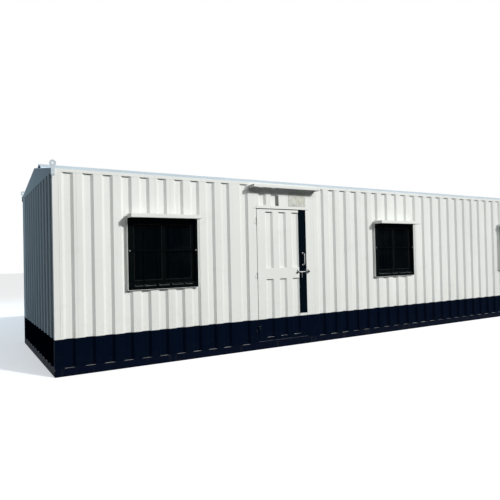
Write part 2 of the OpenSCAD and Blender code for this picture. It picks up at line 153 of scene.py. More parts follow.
class Graph:
    """The node tree of a finish or of the surround."""

    def __init__(self, owner: Union[bpy.types.Material, bpy.types.World]) -> None:
        """Empties the node tree.

        Args:
            owner: the material or the world that the tree belongs to.
        """
        owner.use_nodes = True
        self.owner = owner
        self.tree = owner.node_tree
        self.tree.nodes.clear()
        self.masks: dict["Layer", Value] = {}

    def node(self, kind: str, settings: Optional[Mapping[str, object]] = None,
             inputs: Optional[Mapping[Union[str, int], object]] = None) -> bpy.types.Node:
        """Adds any node.

        Args:
            kind: the node's type.
            settings: its own settings, which are set first.
            inputs: values or links of its sockets, by name or by number.

        Returns:
            The new node.
        """
        node = self.tree.nodes.new(kind)
        for key, setting in (settings or {}).items():
            setattr(node, key, setting)
        for key, given in (inputs or {}).items():
            socket = node.inputs[key]
            given = given.socket if isinstance(given, Value) else given
            if isinstance(given, bpy.types.NodeSocket):
                self.tree.links.new(given, socket)
            elif socket.type == "RGBA":
                socket.default_value = (*given, 1.0)
            else:
                socket.default_value = given
        return node

    def pick(self, kind: str, output: Union[str, int], settings: Optional[Mapping[str, object]] = None,
             inputs: Optional[Mapping[Union[str, int], object]] = None) -> Value:
        """Adds any node, and gives one of its outputs."""
        return Value(self, self.node(kind, settings, inputs).outputs[output])

    @cached_property
    def coordinates(self) -> Value:
        """The Object coordinates."""
        return self.pick("ShaderNodeTexCoord", "Object")

    @cached_property
    def place(self) -> tuple[Value, ...]:
        """The place on the part: x, y and z in metres."""
        parts = self.node("ShaderNodeSeparateXYZ", None, {0: self.coordinates})
        return tuple(Value(self, socket) for socket in parts.outputs)

    @cached_property
    def upward(self) -> Value:
        """How far the surface faces up, from -1 to 1."""
        normal = self.pick("ShaderNodeNewGeometry", "Normal")
        return self.pick("ShaderNodeSeparateXYZ", 2, None, {0: normal})

    def around(self, inner: float, outer: float) -> Value:
        """The place along the walls: x on the long sides, y on the ends.

        Args:
            inner: distance from the middle up to which a place belongs to the ends.
            outer: distance from which it belongs to the long sides.

        Returns:
            The place along the wall.
        """
        x, y, _ = self.place
        side = abs(y).rise(inner, outer)
        return x * side + y * (1.0 - side)

    def seen(self) -> Value:
        """Tells what the camera sees from the light that falls.

        Returns:
            1 for what is seen directly, mirrored or through a pane, and 0 otherwise.
        """
        path = self.node("ShaderNodeLightPath")
        camera, mirrored, through = (
            Value(self, path.outputs[f"Is {kind} Ray"]) for kind in ("Camera", "Glossy", "Transmission"))
        return camera.most(mirrored).most(through)

    def noise(self, scale: Union[float, Triple], detail: float, roughness: float, shift: Triple) -> Value:
        """Cloudy noise.

        Args:
            scale: lumps per metre, one number or one for each axis.
            detail: number of finer layers.
            roughness: weight of the finer layers.
            shift: offset that sets one use of the noise apart from another.

        Returns:
            The noise, about 0.2 to 0.8 around a mean of 0.5.
        """
        stretch = scale if isinstance(scale, tuple) else (scale,) * 3
        vector = self.pick("ShaderNodeMapping", 0, None,
                           {"Vector": self.coordinates, "Scale": stretch, "Location": shift})
        return self.pick("ShaderNodeTexNoise", "Fac", {"noise_dimensions": "3D"},
                         {"Vector": vector, "Scale": 1.0, "Detail": detail, "Roughness": roughness})

    def cells(self, scale: float) -> Value:
        """Cells of random tone, like the spangle of zinc.

        Args:
            scale: cells per metre.

        Returns:
            A random number from 0 to 1 for each cell.
        """
        colour = self.pick("ShaderNodeTexVoronoi", "Color", {"voronoi_dimensions": "3D", "feature": "F1"},
                           {"Vector": self.coordinates, "Scale": scale})
        return self.pick("ShaderNodeSeparateColor", 0, None, {0: colour})

    def mix(self, factor: Operand, first: Paint, second: Paint) -> Value:
        """The first colour, replaced by the second one by a factor from 0 to 1."""
        settings = {"data_type": "RGBA", "blend_type": "MIX", "clamp_factor": True}
        return self.pick("ShaderNodeMix", 2, settings, {0: factor, 6: first, 7: second})

    def laid(self, colour: Paint, layers: Sequence["Layer"], level: float = 1.0) -> Paint:
        """A colour with layers laid over it, in order.

        Args:
            colour: the colour below.
            layers: the layers.
            level: factor on the share of each.

        Returns:
            The colour seen.
        """
        for layer in layers:
            colour = self.mix(layer.mask(self) * (layer.share * level), colour, layer.tint)
        return colour

    def matted(self, rough: Operand, layers: Sequence["Layer"], level: float = 1.0) -> Operand:
        """The roughness below layers plus what each of them adds."""
        return sum((layer.mask(self) * (layer.matt * level) for layer in layers if layer.matt), rough)

    def close(self, colour: Paint, rough: Operand, height: Operand,
              others: Mapping[str, object]) -> bpy.types.Material:
        """Ends the finish in one Principled shader.

        Args:
            colour: base colour.
            rough: roughness.
            height: relief in metres, for the Bump node.
            others: other sockets of the shader.

        Returns:
            The finished material.
        """
        bump = self.pick("ShaderNodeBump", "Normal", None, {"Strength": 1.0, "Distance": 1.0, "Height": height})
        inputs = {"Base Color": colour, "Roughness": rough, "Normal": bump, **others}
        shader = self.pick("ShaderNodeBsdfPrincipled", "BSDF", None, inputs)
        self.node("ShaderNodeOutputMaterial", None, {"Surface": shader})
        return self.owner


def scaled(colour: Colour, share: float) -> Colour:
    """A colour times a number."""
    return tuple(share * part for part in colour)


@dataclass(frozen=True)
class Swell:
    """Noise of a set size, for relief, roughness or an uneven edge."""

    size: float
    scale: Union[float, Triple]
    detail: float
    roughness: float = 0.5
    shift: Triple = (0.0, 0.0, 0.0)

    def on(self, g: Graph) -> Value:
        """The noise over a surface, around half its size."""
        return self.size * g.noise(self.scale, self.detail, self.roughness, self.shift)


@dataclass(frozen=True)
class Mottle:
    """A pattern of noise: 0 below a low level of the noise, and 1 above a high one."""

    low: float
    high: float
    scale: Union[float, Triple]
    detail: float
    roughness: float = 0.5
    shift: Triple = (0.0, 0.0, 0.0)

    def on(self, g: Graph) -> Value:
        """The pattern over a surface."""
        return g.noise(self.scale, self.detail, self.roughness, self.shift).rise(self.low, self.high)


@dataclass(frozen=True)
class Layer:
    """A layer of dirt, rust or wear: its colour, its share at most, and the pattern that it lies in.

    The pattern starts from a least value. It may be kept to the patches of a region, faded over a
    range of heights down to a rest, and kept to a range of upward slopes. Where it lies fully, it adds
    to the roughness (matt) and to the relief (raised).
    """

    tint: Colour
    share: float
    pattern: Mottle
    least: float = 0.0
    region: Optional[Mottle] = None
    heights: Optional[Pair] = None
    rest: float = 0.0
    slopes: Optional[Pair] = None
    matt: float = 0.0
    raised: float = 0.0

    def mask(self, g: Graph) -> Value:
        """Where the layer lies, made once for each finish.

        Args:
            g: the finish's node tree.

        Returns:
            The mask, from 0 to 1.
        """
        if self not in g.masks:
            mask = self.pattern.on(g).over(self.least)
            if self.region:
                mask = mask * self.region.on(g)
            if self.heights:
                mask = mask * g.place[2].rise(*self.heights).over(self.rest)
            if self.slopes:
                mask = mask * g.upward.rise(*self.slopes)
            g.masks[self] = mask
        return g.masks[self]


@dataclass(frozen=True)
class Finish(ABC):
    """A look with a name."""

    name: str

    @abstractmethod
    def paint(self, g: Graph) -> bpy.types.Material:
        """Fills the node tree of a new material, and gives the material back."""

    def material(self) -> bpy.types.Material:
        """A new material in this look."""
        return self.paint(Graph(bpy.data.materials.new(self.name)))


class Grime(Enum):
    """How far the weather has marked a painted piece."""

    USUAL = 1.0
    HEAVY = 1.7


class Axis(Enum):
    """The axes along which the door's gaps are measured."""

    X = 0
    Z = 2


@dataclass(frozen=True)
class Stripe:
    """An upright painted stripe on the door leaf, with an uneven edge."""

    across: Pair
    heights: Pair
    tint: Colour = (0.0006, 0.0030, 0.0062)
    soft: float = 0.0015
    uneven: Swell = Swell(0.003, 11.0, 3.0, shift=(3.0, 1.0, 7.0))

    def mask(self, g: Graph) -> Value:
        """1 on the stripe and 0 beside it."""
        (x, _, z), edge = g.place, self.uneven.on(g) - self.uneven.size / 2
        return (x + edge).within(*self.across, self.soft) * (z + edge).within(*self.heights, self.soft)


@dataclass(frozen=True)
class Gap:
    """Painted shade in a gap of the door: near-black over a range along one axis, on what lies behind a face.
    """

    axis: Axis
    reach: Pair
    soft: float
    share: float = 1.0
    behind: Pair = (-HALF_WIDTH - 0.0010, -HALF_WIDTH - 0.0002)
    # Near-black painted shade on the faces inside the gap.
    tint: Colour = (0.004, 0.004, 0.004)
    even: float = 0.88
    uneven: Swell = Swell(0.1, 20.0, 3.0)

    def mask(self, g: Graph) -> Value:
        """The share of painted shade, from 0 to 1."""
        dirt_and_shade = g.place[self.axis.value].within(*self.reach, self.soft) * g.place[1].rise(*self.behind)
        return dirt_and_shade * (self.share * (self.even + self.uneven.on(g)))


@dataclass(frozen=True)
class DarkFlank:
    """A dark patch on one flank of the sheet over the door, darkest at its lower right."""

    across: Pair
    top: Pair = (2.385, 2.37)
    darkest: Pair = (2.27, 2.22)
    rest: float = 0.78
    soft: float = 0.004
    tint: Colour = (0.05, 0.05, 0.05)
    even: float = 0.9
    uneven: Swell = Swell(0.1, (40.0, 40.0, 9.0), 4.0)

    def mask(self, g: Graph) -> Value:
        """The share of the dark patch.

        Args:
            g: the finish's node tree.

        Returns:
            The share, from 0 to 1.
        """
        x, _, z = g.place
        dark_patch = x.within(*self.across, self.soft) * z.rise(*self.top)
        dark_patch = dark_patch * (x.rise(*self.across) * z.rise(*self.darkest)).over(self.rest)
        return dark_patch * (self.even + self.uneven.on(g))


@dataclass(frozen=True)
class Pressing:
    """Dirt and painted shade in the troughs of a pressed sheet, darker with depth, and the lapped seams between
    its sheets.
    """

    # Share of dirt and painted shade laid in the troughs.
    dirt_and_shade: float = 0.03
    reach: Pair = (0.006, 0.028)
    tint: Colour = (0.14, 0.15, 0.155)
    even: float = 0.25
    uneven: Swell = Swell(0.75, (3.0, 3.0, 0.7), 3.0)
    seam_pitch: float = 1.25
    seam_first: float = -5.81
    seam_half: float = 0.007
    seam_dirt: float = 0.18
    seam_tint: Colour = (0.38, 0.37, 0.34)
    seam_height: float = 0.0010
    ends: Pair = (HALF_WIDTH - 0.06, HALF_WIDTH - 0.05)

    def trough_dirt_and_shade(self, g: Graph) -> Value:
        """How far dirt and painted shade darken the sheet, by its depth behind the outer faces of the cabin."""
        inward = 0.0 - (abs(g.place[0]) - HALF_LENGTH).most(abs(g.place[1]) - HALF_WIDTH)
        return inward.rise(*self.reach) * (self.even + self.uneven.on(g))

    def seam(self, g: Graph) -> Value:
        """1 along the seams, falling to 0 beside them."""
        along = g.around(*self.ends) - (self.seam_first - self.seam_pitch / 2)
        return (along % self.seam_pitch).near(self.seam_pitch / 2, self.seam_half)


@dataclass(frozen=True)
class BandedPaint(Finish):
    """Off-white paint over a dark band along the foot of the cabin, with clouding, rain streaks, splashes, rust
    and dents, a painted highlight on the band's upward ledges, and dirt and painted shade in pressed troughs."""

    grime: Grime = Grime.USUAL
    pressing: Optional[Pressing] = None
    marks: tuple[Union[Stripe, Gap, DarkFlank], ...] = ()
    specular: float = 0.008
    rough: float = 0.40
    band_rough: float = 0.12
    band_soft: float = 0.0022
    dull_white: float = 0.935
    band_edge: Swell = Swell(0.006, 7.0, 4.0)
    gloss: Swell = Swell(0.14, 3.0, 3.0)
    dents: Swell = Swell(0.0012, (1.6, 1.6, 0.8), 2.0, 0.4, (6.0, 1.0, 2.0))
    peel: Swell = Swell(0.00003, 260.0, 2.0)
    clouds: Layer = Layer(OFF_WHITE, 1.0, Mottle(0.3, 0.75, (0.9, 0.9, 0.55), 4.0, shift=(9.0, 2.0, 5.0)))
    streaks: Layer = Layer((0.42, 0.42, 0.385), 0.16, Mottle(0.52, 0.78, (15.0, 15.0, 0.42), 4.0, 0.6),
                           heights=(0.6, 2.5), rest=0.35, matt=0.08)
    splashes: Layer = Layer((0.40, 0.36, 0.30), 0.13, Mottle(0.45, 0.72, 16.0, 5.0, 0.65),
                            heights=(0.95, 0.42))
    # Soft grey patches over the white, darker in places.
    grey_mottling: Layer = Layer((0.50, 0.50, 0.47), 0.15,
                          Mottle(0.55, 0.8, (2.4, 2.4, 5.0), 5.0, 0.6, (1.0, 8.0, 3.0)))
    dust: Layer = Layer((0.30, 0.29, 0.27), 0.007,
                        Mottle(0.42, 0.75, (9.0, 9.0, 14.0), 5.0, 0.7, (4.0, 4.0, 1.0)), heights=(0.45, 0.08))
    scuffs: Layer = Layer((0.35, 0.36, 0.38), 0.012,
                          Mottle(0.66, 0.74, (5.0, 5.0, 60.0), 3.0, 0.6, (2.0, 7.0, 1.0)))
    # Painted highlight: upward faces in the dark band turn pale blue-grey, as if lit from above.
    ledge_highlight: Layer = Layer((0.74, 0.76, 0.78), 0.95, Mottle(0.4, 0.6, (14.0, 30.0, 30.0), 4.0), least=0.45,
                          slopes=(0.35, 0.70))
    specks: Layer = Layer((0.16, 0.062, 0.024), 0.6, Mottle(0.70, 0.75, 46.0, 4.0, 0.6, (5.0, 5.0, 5.0)),
                          region=Mottle(0.55, 0.68, 1.7, 2.0, shift=(2.0, 3.0, 4.0)),
                          heights=(1.2, 0.15), matt=0.3)

    def paint(self, g: Graph) -> bpy.types.Material:
        """Builds the paint from the white, the band, the marks and the rust.

        Args:
            g: the new material's node tree.

        Returns:
            The material.
        """
        level = self.grime.value
        white = g.laid(scaled(OFF_WHITE, self.dull_white), (self.clouds,))
        white = g.laid(white, (self.streaks, self.splashes, self.grey_mottling), level)
        height = self.dents.on(g) + self.peel.on(g)
        if self.pressing:
            press, seam = self.pressing, self.pressing.seam(g)
            # Dirt and painted shade: the troughs darken with their depth behind the outer faces.
            white = g.mix(press.trough_dirt_and_shade(g) * (press.dirt_and_shade * level), white, press.tint)
            white = g.mix(seam * (press.seam_dirt * level), white, press.seam_tint)
            height = height + press.seam_height * seam
        dark = g.laid(g.laid(NAVY, (self.dust, self.scuffs), level), (self.ledge_highlight,))
        wavy = g.place[2] + self.band_edge.on(g) - self.band_edge.size / 2
        band = wavy.rise(BAND_TOP + self.band_soft, BAND_TOP - self.band_soft)
        colour = g.mix(band, white, dark)
        for mark in self.marks:
            colour = g.mix(mark.mask(g), colour, mark.tint)
        colour = g.laid(colour, (self.specks,), level)
        rough = self.rough + self.gloss.on(g) + self.band_rough * band
        rough = g.matted(rough, (self.streaks, self.specks), level)
        return g.close(colour, rough, height, {"IOR": PAINT_IOR, "Specular IOR Level": self.specular})


@dataclass(frozen=True)
class Coat(Finish):
    """One colour with layers of dust, stain or wear over it, and a fine grain."""

    colour: Colour
    layers: tuple[Layer, ...]
    rough: float
    specular: float
    grain: Optional[Swell] = None
    gloss: Optional[Swell] = None
    alpha: float = 1.0
    ior: float = 1.5

    def paint(self, g: Graph) -> bpy.types.Material:
        """Builds the coat from its shade, its roughness and its relief.

        Args:
            g: the new material's node tree.

        Returns:
            The material.
        """
        rough = g.matted(self.rough + (self.gloss.on(g) if self.gloss else 0.0), self.layers)
        return g.close(self.shade(g), rough, self.relief(g),
                       {"IOR": self.ior, "Specular IOR Level": self.specular, "Alpha": self.alpha})

    def shade(self, g: Graph) -> Paint:
        """The colour with its layers."""
        return g.laid(self.colour, self.layers)

    def relief(self, g: Graph) -> Operand:
        """The height of the grain and of the raised layers."""
        raised = (layer.mask(g) * layer.raised for layer in self.layers if layer.raised)
        return sum(raised, self.grain.on(g) if self.grain else 0.0)


@dataclass(frozen=True)
class WeldPaint(Coat):
    """Paint over a weld bead, with the bead's close ripple, and dark below the top of the band."""

    pitch: float = 0.006
    ripple: float = 0.0008
    band_soft: float = 0.002

    def shade(self, g: Graph) -> Paint:
        """The layered paint over the band."""
        band = g.place[2].rise(BAND_TOP + self.band_soft, BAND_TOP - self.band_soft)
        return g.mix(band, super().shade(g), NAVY)

    def relief(self, g: Graph) -> Operand:
        """Ripples at an even pitch along the bead."""
        along = g.place[0] + g.place[1] + g.place[2]
        return self.ripple * (along % self.pitch).near(self.pitch / 2, self.pitch / 2)


def weathered(name: str, colour: Colour, dust: Colour, dust_share: float, rust: float, rough: float = 0.45,
              specular: float = 0.03, streaks: float = 0.02) -> Coat:
    """A plain paint, clouded, with dust on what faces up, streaks and rust.

    Args:
        name: name of the finish.
        colour: colour of the paint.
        dust: colour of the dust.
        dust_share: how far the dust hides the paint.
        rust: how far the rust hides it.
        rough: roughness of the clean paint.
        specular: strength of its reflection.
        streaks: share of the dust that runs down in streaks.

    Returns:
        The finish.
    """
    layers = (
        Layer(colour, 1.0, Mottle(0.32, 0.7, (1.3, 1.3, 2.2), 5.0, 0.6)),
        Layer(dust, dust_share, Mottle(0.35, 0.7, (2.1, 5.0, 5.0), 5.0, 0.65), least=0.3, slopes=(0.2, 0.95),
              matt=0.25 * dust_share),
        Layer(dust, streaks * dust_share, Mottle(0.55, 0.78, (12.0, 1.6, 2.0), 4.0, 0.6, (3.0, 3.0, 1.0))),
        Layer((0.17, 0.066, 0.026), rust, Mottle(0.62, 0.72, 30.0, 5.0, 0.65, (8.0, 1.0, 6.0)),
              region=Mottle(0.5, 0.68, 1.9, 2.0, shift=(1.0, 9.0, 2.0)), matt=0.35 * rust,
              raised=0.0001 * rust))
    dull = scaled(colour, 0.88)
    return Coat(name, dull, layers, rough, specular, Swell(0.0010, (1.2, 1.8, 1.8), 2.0, 0.4),
                Swell(0.1, (1.3, 1.3, 2.2), 5.0, 0.6), ior=PAINT_IOR)


def black_coat(name: str, colour: Colour, dust: Colour) -> Coat:
    """Coated aluminium of the window frames, with dust on its ledges and rub marks.

    Args:
        name: name of the finish.
        colour: colour of the coat.
        dust: colour of the dust.

    Returns:
        The finish.
    """
    layers = (
        Layer(dust, 0.6, Mottle(0.38, 0.66, (9.0, 60.0, 60.0), 4.0), least=0.25, slopes=(0.3, 0.9), matt=0.3),
        Layer((0.16, 0.18, 0.19), 0.05, Mottle(0.6, 0.78, (70.0, 70.0, 4.0), 4.0, 0.6)))
    return Coat(name, colour, layers, rough=0.42, specular=0.01, grain=Swell(0.00003, 600.0, 2.0),
                gloss=Swell(0.12, 120.0, 2.0))


WELD = WeldPaint("painted_weld", OFF_WHITE, (
    Layer((0.46, 0.45, 0.42), 0.35, Mottle(0.5, 0.75, 140.0, 3.0, 0.6), matt=0.15),
    Layer((0.18, 0.075, 0.03), 0.6, Mottle(0.66, 0.74, 35.0, 4.0, 0.6, (3.0, 1.0, 1.0)), heights=(1.6, 0.2)),
), rough=0.5, specular=0.02)
GLASS = Coat("tinted_panes", (0.0006, 0.0017, 0.0028), (
    Layer((0.06, 0.075, 0.08), 0.05, Mottle(0.56, 0.76, (55.0, 55.0, 1.6), 4.0, 0.6), matt=0.0175),
    Layer((0.06, 0.075, 0.08), 0.03, Mottle(0.42, 0.70, (3.0, 3.0, 4.0), 4.0, 0.55, (7.0, 7.0, 1.0)),
          matt=0.0105),
), rough=0.05, specular=0.006, grain=Swell(0.0004, (1.1, 1.1, 1.3), 1.0, 0.3), alpha=0.975, ior=PAINT_IOR)
VENT_PLATE = Coat("stained_vent_plate", (0.58, 0.59, 0.55), (
    Layer((0.42, 0.425, 0.39), 1.0, Mottle(0.36, 0.66, (26.0, 26.0, 19.0), 5.0, 0.6), matt=0.2, raised=0.0006),
    Layer((0.53, 0.545, 0.40), 0.35, Mottle(0.42, 0.62, 9.0, 3.0, shift=(6.0, 2.0, 2.0))),
    Layer((0.70, 0.71, 0.69), 0.35, Mottle(0.45, 0.72, (48.0, 48.0, 6.0), 4.0, 0.6, (2.0, 5.0, 5.0))),
), rough=0.55, specular=0.25)
RUBBER = Coat("sealing_rubber", (0.004, 0.0042, 0.0045), (
    Layer((0.016, 0.0165, 0.017), 1.0, Mottle(0.4, 0.75, 30.0, 4.0, 0.6), matt=0.12),
), rough=0.72, specular=0.08, grain=Swell(0.00005, 500.0, 2.0))


class BoardRun(Enum):
    """How boards run; the value is their grain, in lumps per metre along each axis."""

    LENGTHWISE = (1.5, 38.0, 38.0)
    CROSSWISE = (38.0, 1.5, 38.0)
    WALLS = (34.0, 34.0, 1.4)


@dataclass(frozen=True)
class Boards(Finish):
    """Laminated or sealed boards with fine grain and a dark joint at each pitch."""

    light: Colour
    dark: Colour
    run: BoardRun
    pitch: float
    groove: float
    rough: float = 0.5
    specular: float = 0.35
    before: float = 20.0
    tint_step: float = 0.618
    tint_share: float = 0.30
    grain_share: float = 0.55
    grain_rough: float = 0.15
    grain_height: float = 0.00012
    joint_shade: float = 0.35
    joint_depth: float = 0.0012
    walls: Pair = (1.40, 1.44)
    wear: Layer = Layer((0.45, 0.42, 0.38), 0.15, Mottle(0.5, 0.8, 2.2, 4.0, shift=(4.0, 2.0, 9.0)), matt=0.1)

    def paint(self, g: Graph) -> bpy.types.Material:
        """Builds the boards: a tint for each board, grain along it, the joints and the wear.

        Args:
            g: the new material's node tree.

        Returns:
            The material.
        """
        across = {BoardRun.LENGTHWISE: g.place[1], BoardRun.CROSSWISE: g.place[0]}.get(self.run)
        across = (g.around(*self.walls) if across is None else across) + self.before
        rest = across % self.pitch
        tint = ((across - rest) / self.pitch * self.tint_step) % 1.0
        grain = Mottle(0.3, 0.72, self.run.value, 5.0, 0.62).on(g)
        colour = g.mix(self.grain_share * grain + self.tint_share * tint, self.light, self.dark)
        half = self.pitch / 2
        joint = abs(rest - half).rise(half - 2.0 * self.groove, half - self.groove)
        colour = g.mix(joint, colour, scaled(self.dark, self.joint_shade))
        rough = g.matted(self.rough + self.grain_rough * grain, (self.wear,))
        height = self.grain_height * grain - self.joint_depth * joint
        return g.close(g.laid(colour, (self.wear,)), rough, height, {"Specular IOR Level": self.specular})


@dataclass(frozen=True)
class ZincSteel(Finish):
    """Zinc-plated steel with spangle, fine scratches, a little white bloom and rust."""

    colour: Colour = (0.70, 0.71, 0.72)
    rough: float = 0.26
    grimy_below: Optional[float] = None
    grime: Colour = (0.045, 0.048, 0.05)
    grime_soft: float = 0.002
    spangles: float = 190.0
    relief: float = 0.00002
    dull: float = 0.86
    bloom_loss: float = 0.35
    rust_loss: float = 0.6
    grime_loss: float = 0.7
    spangle_rough: float = 0.10
    scratch_rough: float = 0.12
    scratches: Mottle = Mottle(0.6, 0.72, (30.0, 30.0, 420.0), 3.0, 0.6)
    bloom: Layer = Layer((0.60, 0.60, 0.57), 0.4, Mottle(0.58, 0.74, 24.0, 5.0, 0.6, (3.0, 6.0, 2.0)),
                         matt=0.25)
    rust: Layer = Layer((0.20, 0.085, 0.035), 0.5, Mottle(0.68, 0.76, 60.0, 4.0, 0.6, (1.0, 1.0, 9.0)))

    def paint(self, g: Graph) -> bpy.types.Material:
        """Builds the plating, which is less metallic where it blooms, rusts or is grimy.

        Args:
            g: the new material's node tree.

        Returns:
            The material.
        """
        spangle, scratch = g.cells(self.spangles), self.scratches.on(g)
        colour = g.mix(spangle, scaled(self.colour, self.dull), self.colour)
        colour = g.laid(colour, (self.bloom, self.rust))
        metal = 1.0 - self.bloom_loss * self.bloom.mask(g) - self.rust_loss * self.rust.mask(g)
        if self.grimy_below is not None:
            grimy = g.place[2].rise(self.grimy_below + self.grime_soft, self.grimy_below - self.grime_soft)
            colour = g.mix(grimy, colour, self.grime)
            metal = metal * (1.0 - self.grime_loss * grimy)
        rough = self.rough + self.spangle_rough * spangle + self.scratch_rough * scratch
        return g.close(colour, g.matted(rough, (self.bloom,)), self.relief * (spangle - scratch),
                       {"Metallic": metal.least(1.0).most(0.0)})


def unit(vectors: Array) -> Array:
    """Each vector divided by its own length."""
    return vectors / np.linalg.norm(vectors, axis=-1, keepdims=True)


def grid_quads(rows: int, columns: int, wrap_rows: bool) -> Array:
    """Corner numbers of the quads of one grid, whose last column joins its first: point (i, j) has
    number i * columns + j.

    Args:
        rows: number of rows.
        columns: number of columns.
        wrap_rows: whether the last row joins the first.

    Returns:
        An array of four corner numbers for each quad.
    """
    i = np.arange(rows if wrap_rows else rows - 1)[:, None]
    j = np.arange(columns)[None, :]
    below, right = (i + 1) % rows, (j + 1) % columns
    corners = (i * columns + j, i * columns + right, below * columns + right, below * columns + j)
    return np.stack(np.broadcast_arrays(*corners), axis=-1).reshape(-1, 4)


def patches(name: str, points: Array, wrap_rows: bool, crease: float = 32.0) -> bpy.types.Object:
    """One object from like grids, whose columns close to a loop and whose open ends get a face.

    Args:
        name: name of the piece.
        points: array of (grids, rows, columns, 3) places.
        wrap_rows: whether each grid's last row joins its first.
        crease: angle in degrees above which an edge stays sharp.

    Returns:
        The object, at the origin, with its faces turned outwards.
    """
    count, rows, columns, _ = points.shape
    starts = (np.arange(count) * rows * columns)[:, None, None]
    faces = (grid_quads(rows, columns, wrap_rows)[None] + starts).reshape(-1, 4).tolist()
    if not wrap_rows:
        first = np.arange(columns)[None, :] + starts[:, 0]
        faces += first.tolist() + (first + (rows - 1) * columns).tolist()
    mesh = bpy.data.meshes.new(name)
    mesh.from_pydata(points.reshape(-1, 3), [], faces)
    shell = bmesh.new()
    shell.from_mesh(mesh)
    bmesh.ops.recalc_face_normals(shell, faces=shell.faces)
    shell.to_mesh(mesh)
    shell.free()
    mesh.polygons.foreach_set("use_smooth", np.ones(len(mesh.polygons), dtype=bool))
    mesh.set_sharp_from_angle(angle=math.radians(crease))
    mesh.update()
    return linked(name, mesh)


def linked(name: str, data: bpy.types.ID) -> bpy.types.Object:
    """Puts a mesh, a lamp or a camera into the scene.

    Args:
        name: name of the object.
        data: what it holds.

    Returns:
        The new object.
    """
    holder = bpy.data.objects.new(name, data)
    bpy.context.scene.collection.objects.link(holder)
    return holder


def round_profile(radius: float, sides: int = 8) -> Array:
    """A circle of that radius, as points at equal angles."""
    angle = np.arange(sides) * (2.0 * math.pi / sides)
    return radius * np.stack([np.cos(angle), np.sin(angle)], axis=-1)


def carried(paths: Array, profile: Array, side: Triple) -> Array:
    """A profile carried along paths: each point is the path's point plus the profile's two
    coordinates along the two directions that stand square to the path.

    Args:
        paths: array of (paths, points, 3) places.
        profile: array of (columns, 2) coordinates.
        side: a direction that no path runs along.

    Returns:
        Grids of (paths, points, columns, 3) places.
    """
    along = unit(np.gradient(paths, axis=1))
    across = unit(np.cross(along, np.asarray(side)))
    lift = np.cross(across, along)
    return (paths[:, :, None, :] + profile[None, None, :, :1] * across[:, :, None, :]
            + profile[None, None, :, 1:] * lift[:, :, None, :])


def straight(starts: Array, ends: Array, steps: int) -> Array:
    """Straight paths: start plus a share from 0 to 1 of the way to the end."""
    share = np.linspace(0.0, 1.0, steps)[None, :, None]
    return starts[:, None, :] * (1.0 - share) + ends[:, None, :] * share


def mitred(boxes: Array, planes: Array, profile: Array, outwards: float) -> Array:
    """Frames with mitred corners: each corner of an upright box in X and Z is drawn in by the
    profile's first coordinate, and set off from the plane by its second.

    Args:
        boxes: array of (frames, 4): left, right, bottom and top.
        planes: the place of each frame along Y.
        profile: array of (columns, 2): inset and height over the plane.
        outwards: -1 where the frame stands out towards -Y, and 1 towards +Y.

    Returns:
        Grids of (frames, 4, columns, 3) places.
    """
    inset, height = profile[:, 0], profile[:, 1]
    left, right, bottom, top = (boxes[:, k, None, None] for k in range(4))
    at_right = np.array([False, True, True, False])[None, :, None]
    at_top = np.array([False, False, True, True])[None, :, None]
    x = np.where(at_right, right - inset, left + inset)
    z = np.where(at_top, top - inset, bottom + inset)
    y = np.broadcast_to(planes[:, None, None] + outwards * height, x.shape)
    return np.stack([x, y, z], axis=-1)


class HeadForm(Enum):
    """Shapes of a fastener's head: the radius and the height of each ring, and whether it is six-sided."""

    DOME = tuple((math.cos(turn), math.sin(turn), False) for turn in np.linspace(0.0, 0.47 * math.pi, 5))
    HEX = ((1.75, 0.0, False), (1.75, 0.24, False), (1.0, 0.26, True), (1.0, 0.92, True), (0.88, 1.0, True))


def heads(centres: Array, normals: Union[Array, Triple], radius: float, height: float,
          form: HeadForm = HeadForm.DOME) -> Array:
    """Fastener heads: rings around each normal, whose radius and height follow a quarter circle
    for a dome, or a flat washer below a six-sided head.

    Args:
        centres: array of (heads, 3) places on the surface.
        normals: outward direction at each place, or one for all.
        radius: radius of the head.
        height: height of the head.
        form: shape of the head.

    Returns:
        Grids of (heads, rings, 12, 3) places.
    """
    sixth = math.pi / 6.0
    angle = np.arange(12) * sixth
    rings, rise, six_sided = np.array(form.value).T
    hexagon = math.cos(sixth) / np.cos(np.mod(angle, 2.0 * sixth) - sixth)
    reach = radius * rings[:, None] * np.where(six_sided[:, None] > 0.0, hexagon, 1.0)
    normals = unit(np.broadcast_to(np.asarray(normals, dtype=float), centres.shape))
    first = unit(np.cross(normals, np.where(np.abs(normals[:, 2:]) < 0.7, [UP], [[1.0, 0.0, 0.0]])))
    second = np.cross(normals, first)
    ring = (reach * np.cos(angle))[None, :, :, None] * first[:, None, None, :]
    ring = ring + (reach * np.sin(angle))[None, :, :, None] * second[:, None, None, :]
    return centres[:, None, None, :] + ring + (height * rise)[None, :, None, None] * normals[:, None, None, :]


def rounded_blocks(centres: Array, width: Places, height: float, depth: float, corner: float) -> Array:
    """Small plates on an upright face: rounded rectangles in X and Z, carried out towards -Y, the
    outermost ring drawn in a little for a soft edge.

    Args:
        centres: array of (plates, 3) middles of the faces that they lie on.
        width: size along X, one for all or one for each plate.
        height: size along Z.
        depth: thickness towards -Y.
        corner: radius of the corners.

    Returns:
        Grids of (plates, 3, 16, 3) places.
    """
    turn = (np.arange(4)[:, None] * 0.5 + np.linspace(0.0, 0.5, 4)[None, :]).reshape(-1) * math.pi
    sign_x = np.repeat([1.0, -1.0, -1.0, 1.0], 4)
    sign_z = np.repeat([1.0, 1.0, -1.0, -1.0], 4)
    edge = min(0.35 * depth, 0.5 * corner)
    inset = np.array([0.0, 0.0, edge])[None, :, None]
    half = np.broadcast_to(0.5 * np.asarray(width), len(centres))[:, None, None]
    x = sign_x * (half - corner - inset) + corner * np.cos(turn)
    z = np.broadcast_to(sign_z * (0.5 * height - corner - inset) + corner * np.sin(turn), x.shape)
    y = np.broadcast_to(np.array([0.0, edge - depth, -depth])[None, :, None], x.shape)
    return centres[:, None, None, :] + np.stack([x, y, z], axis=-1)


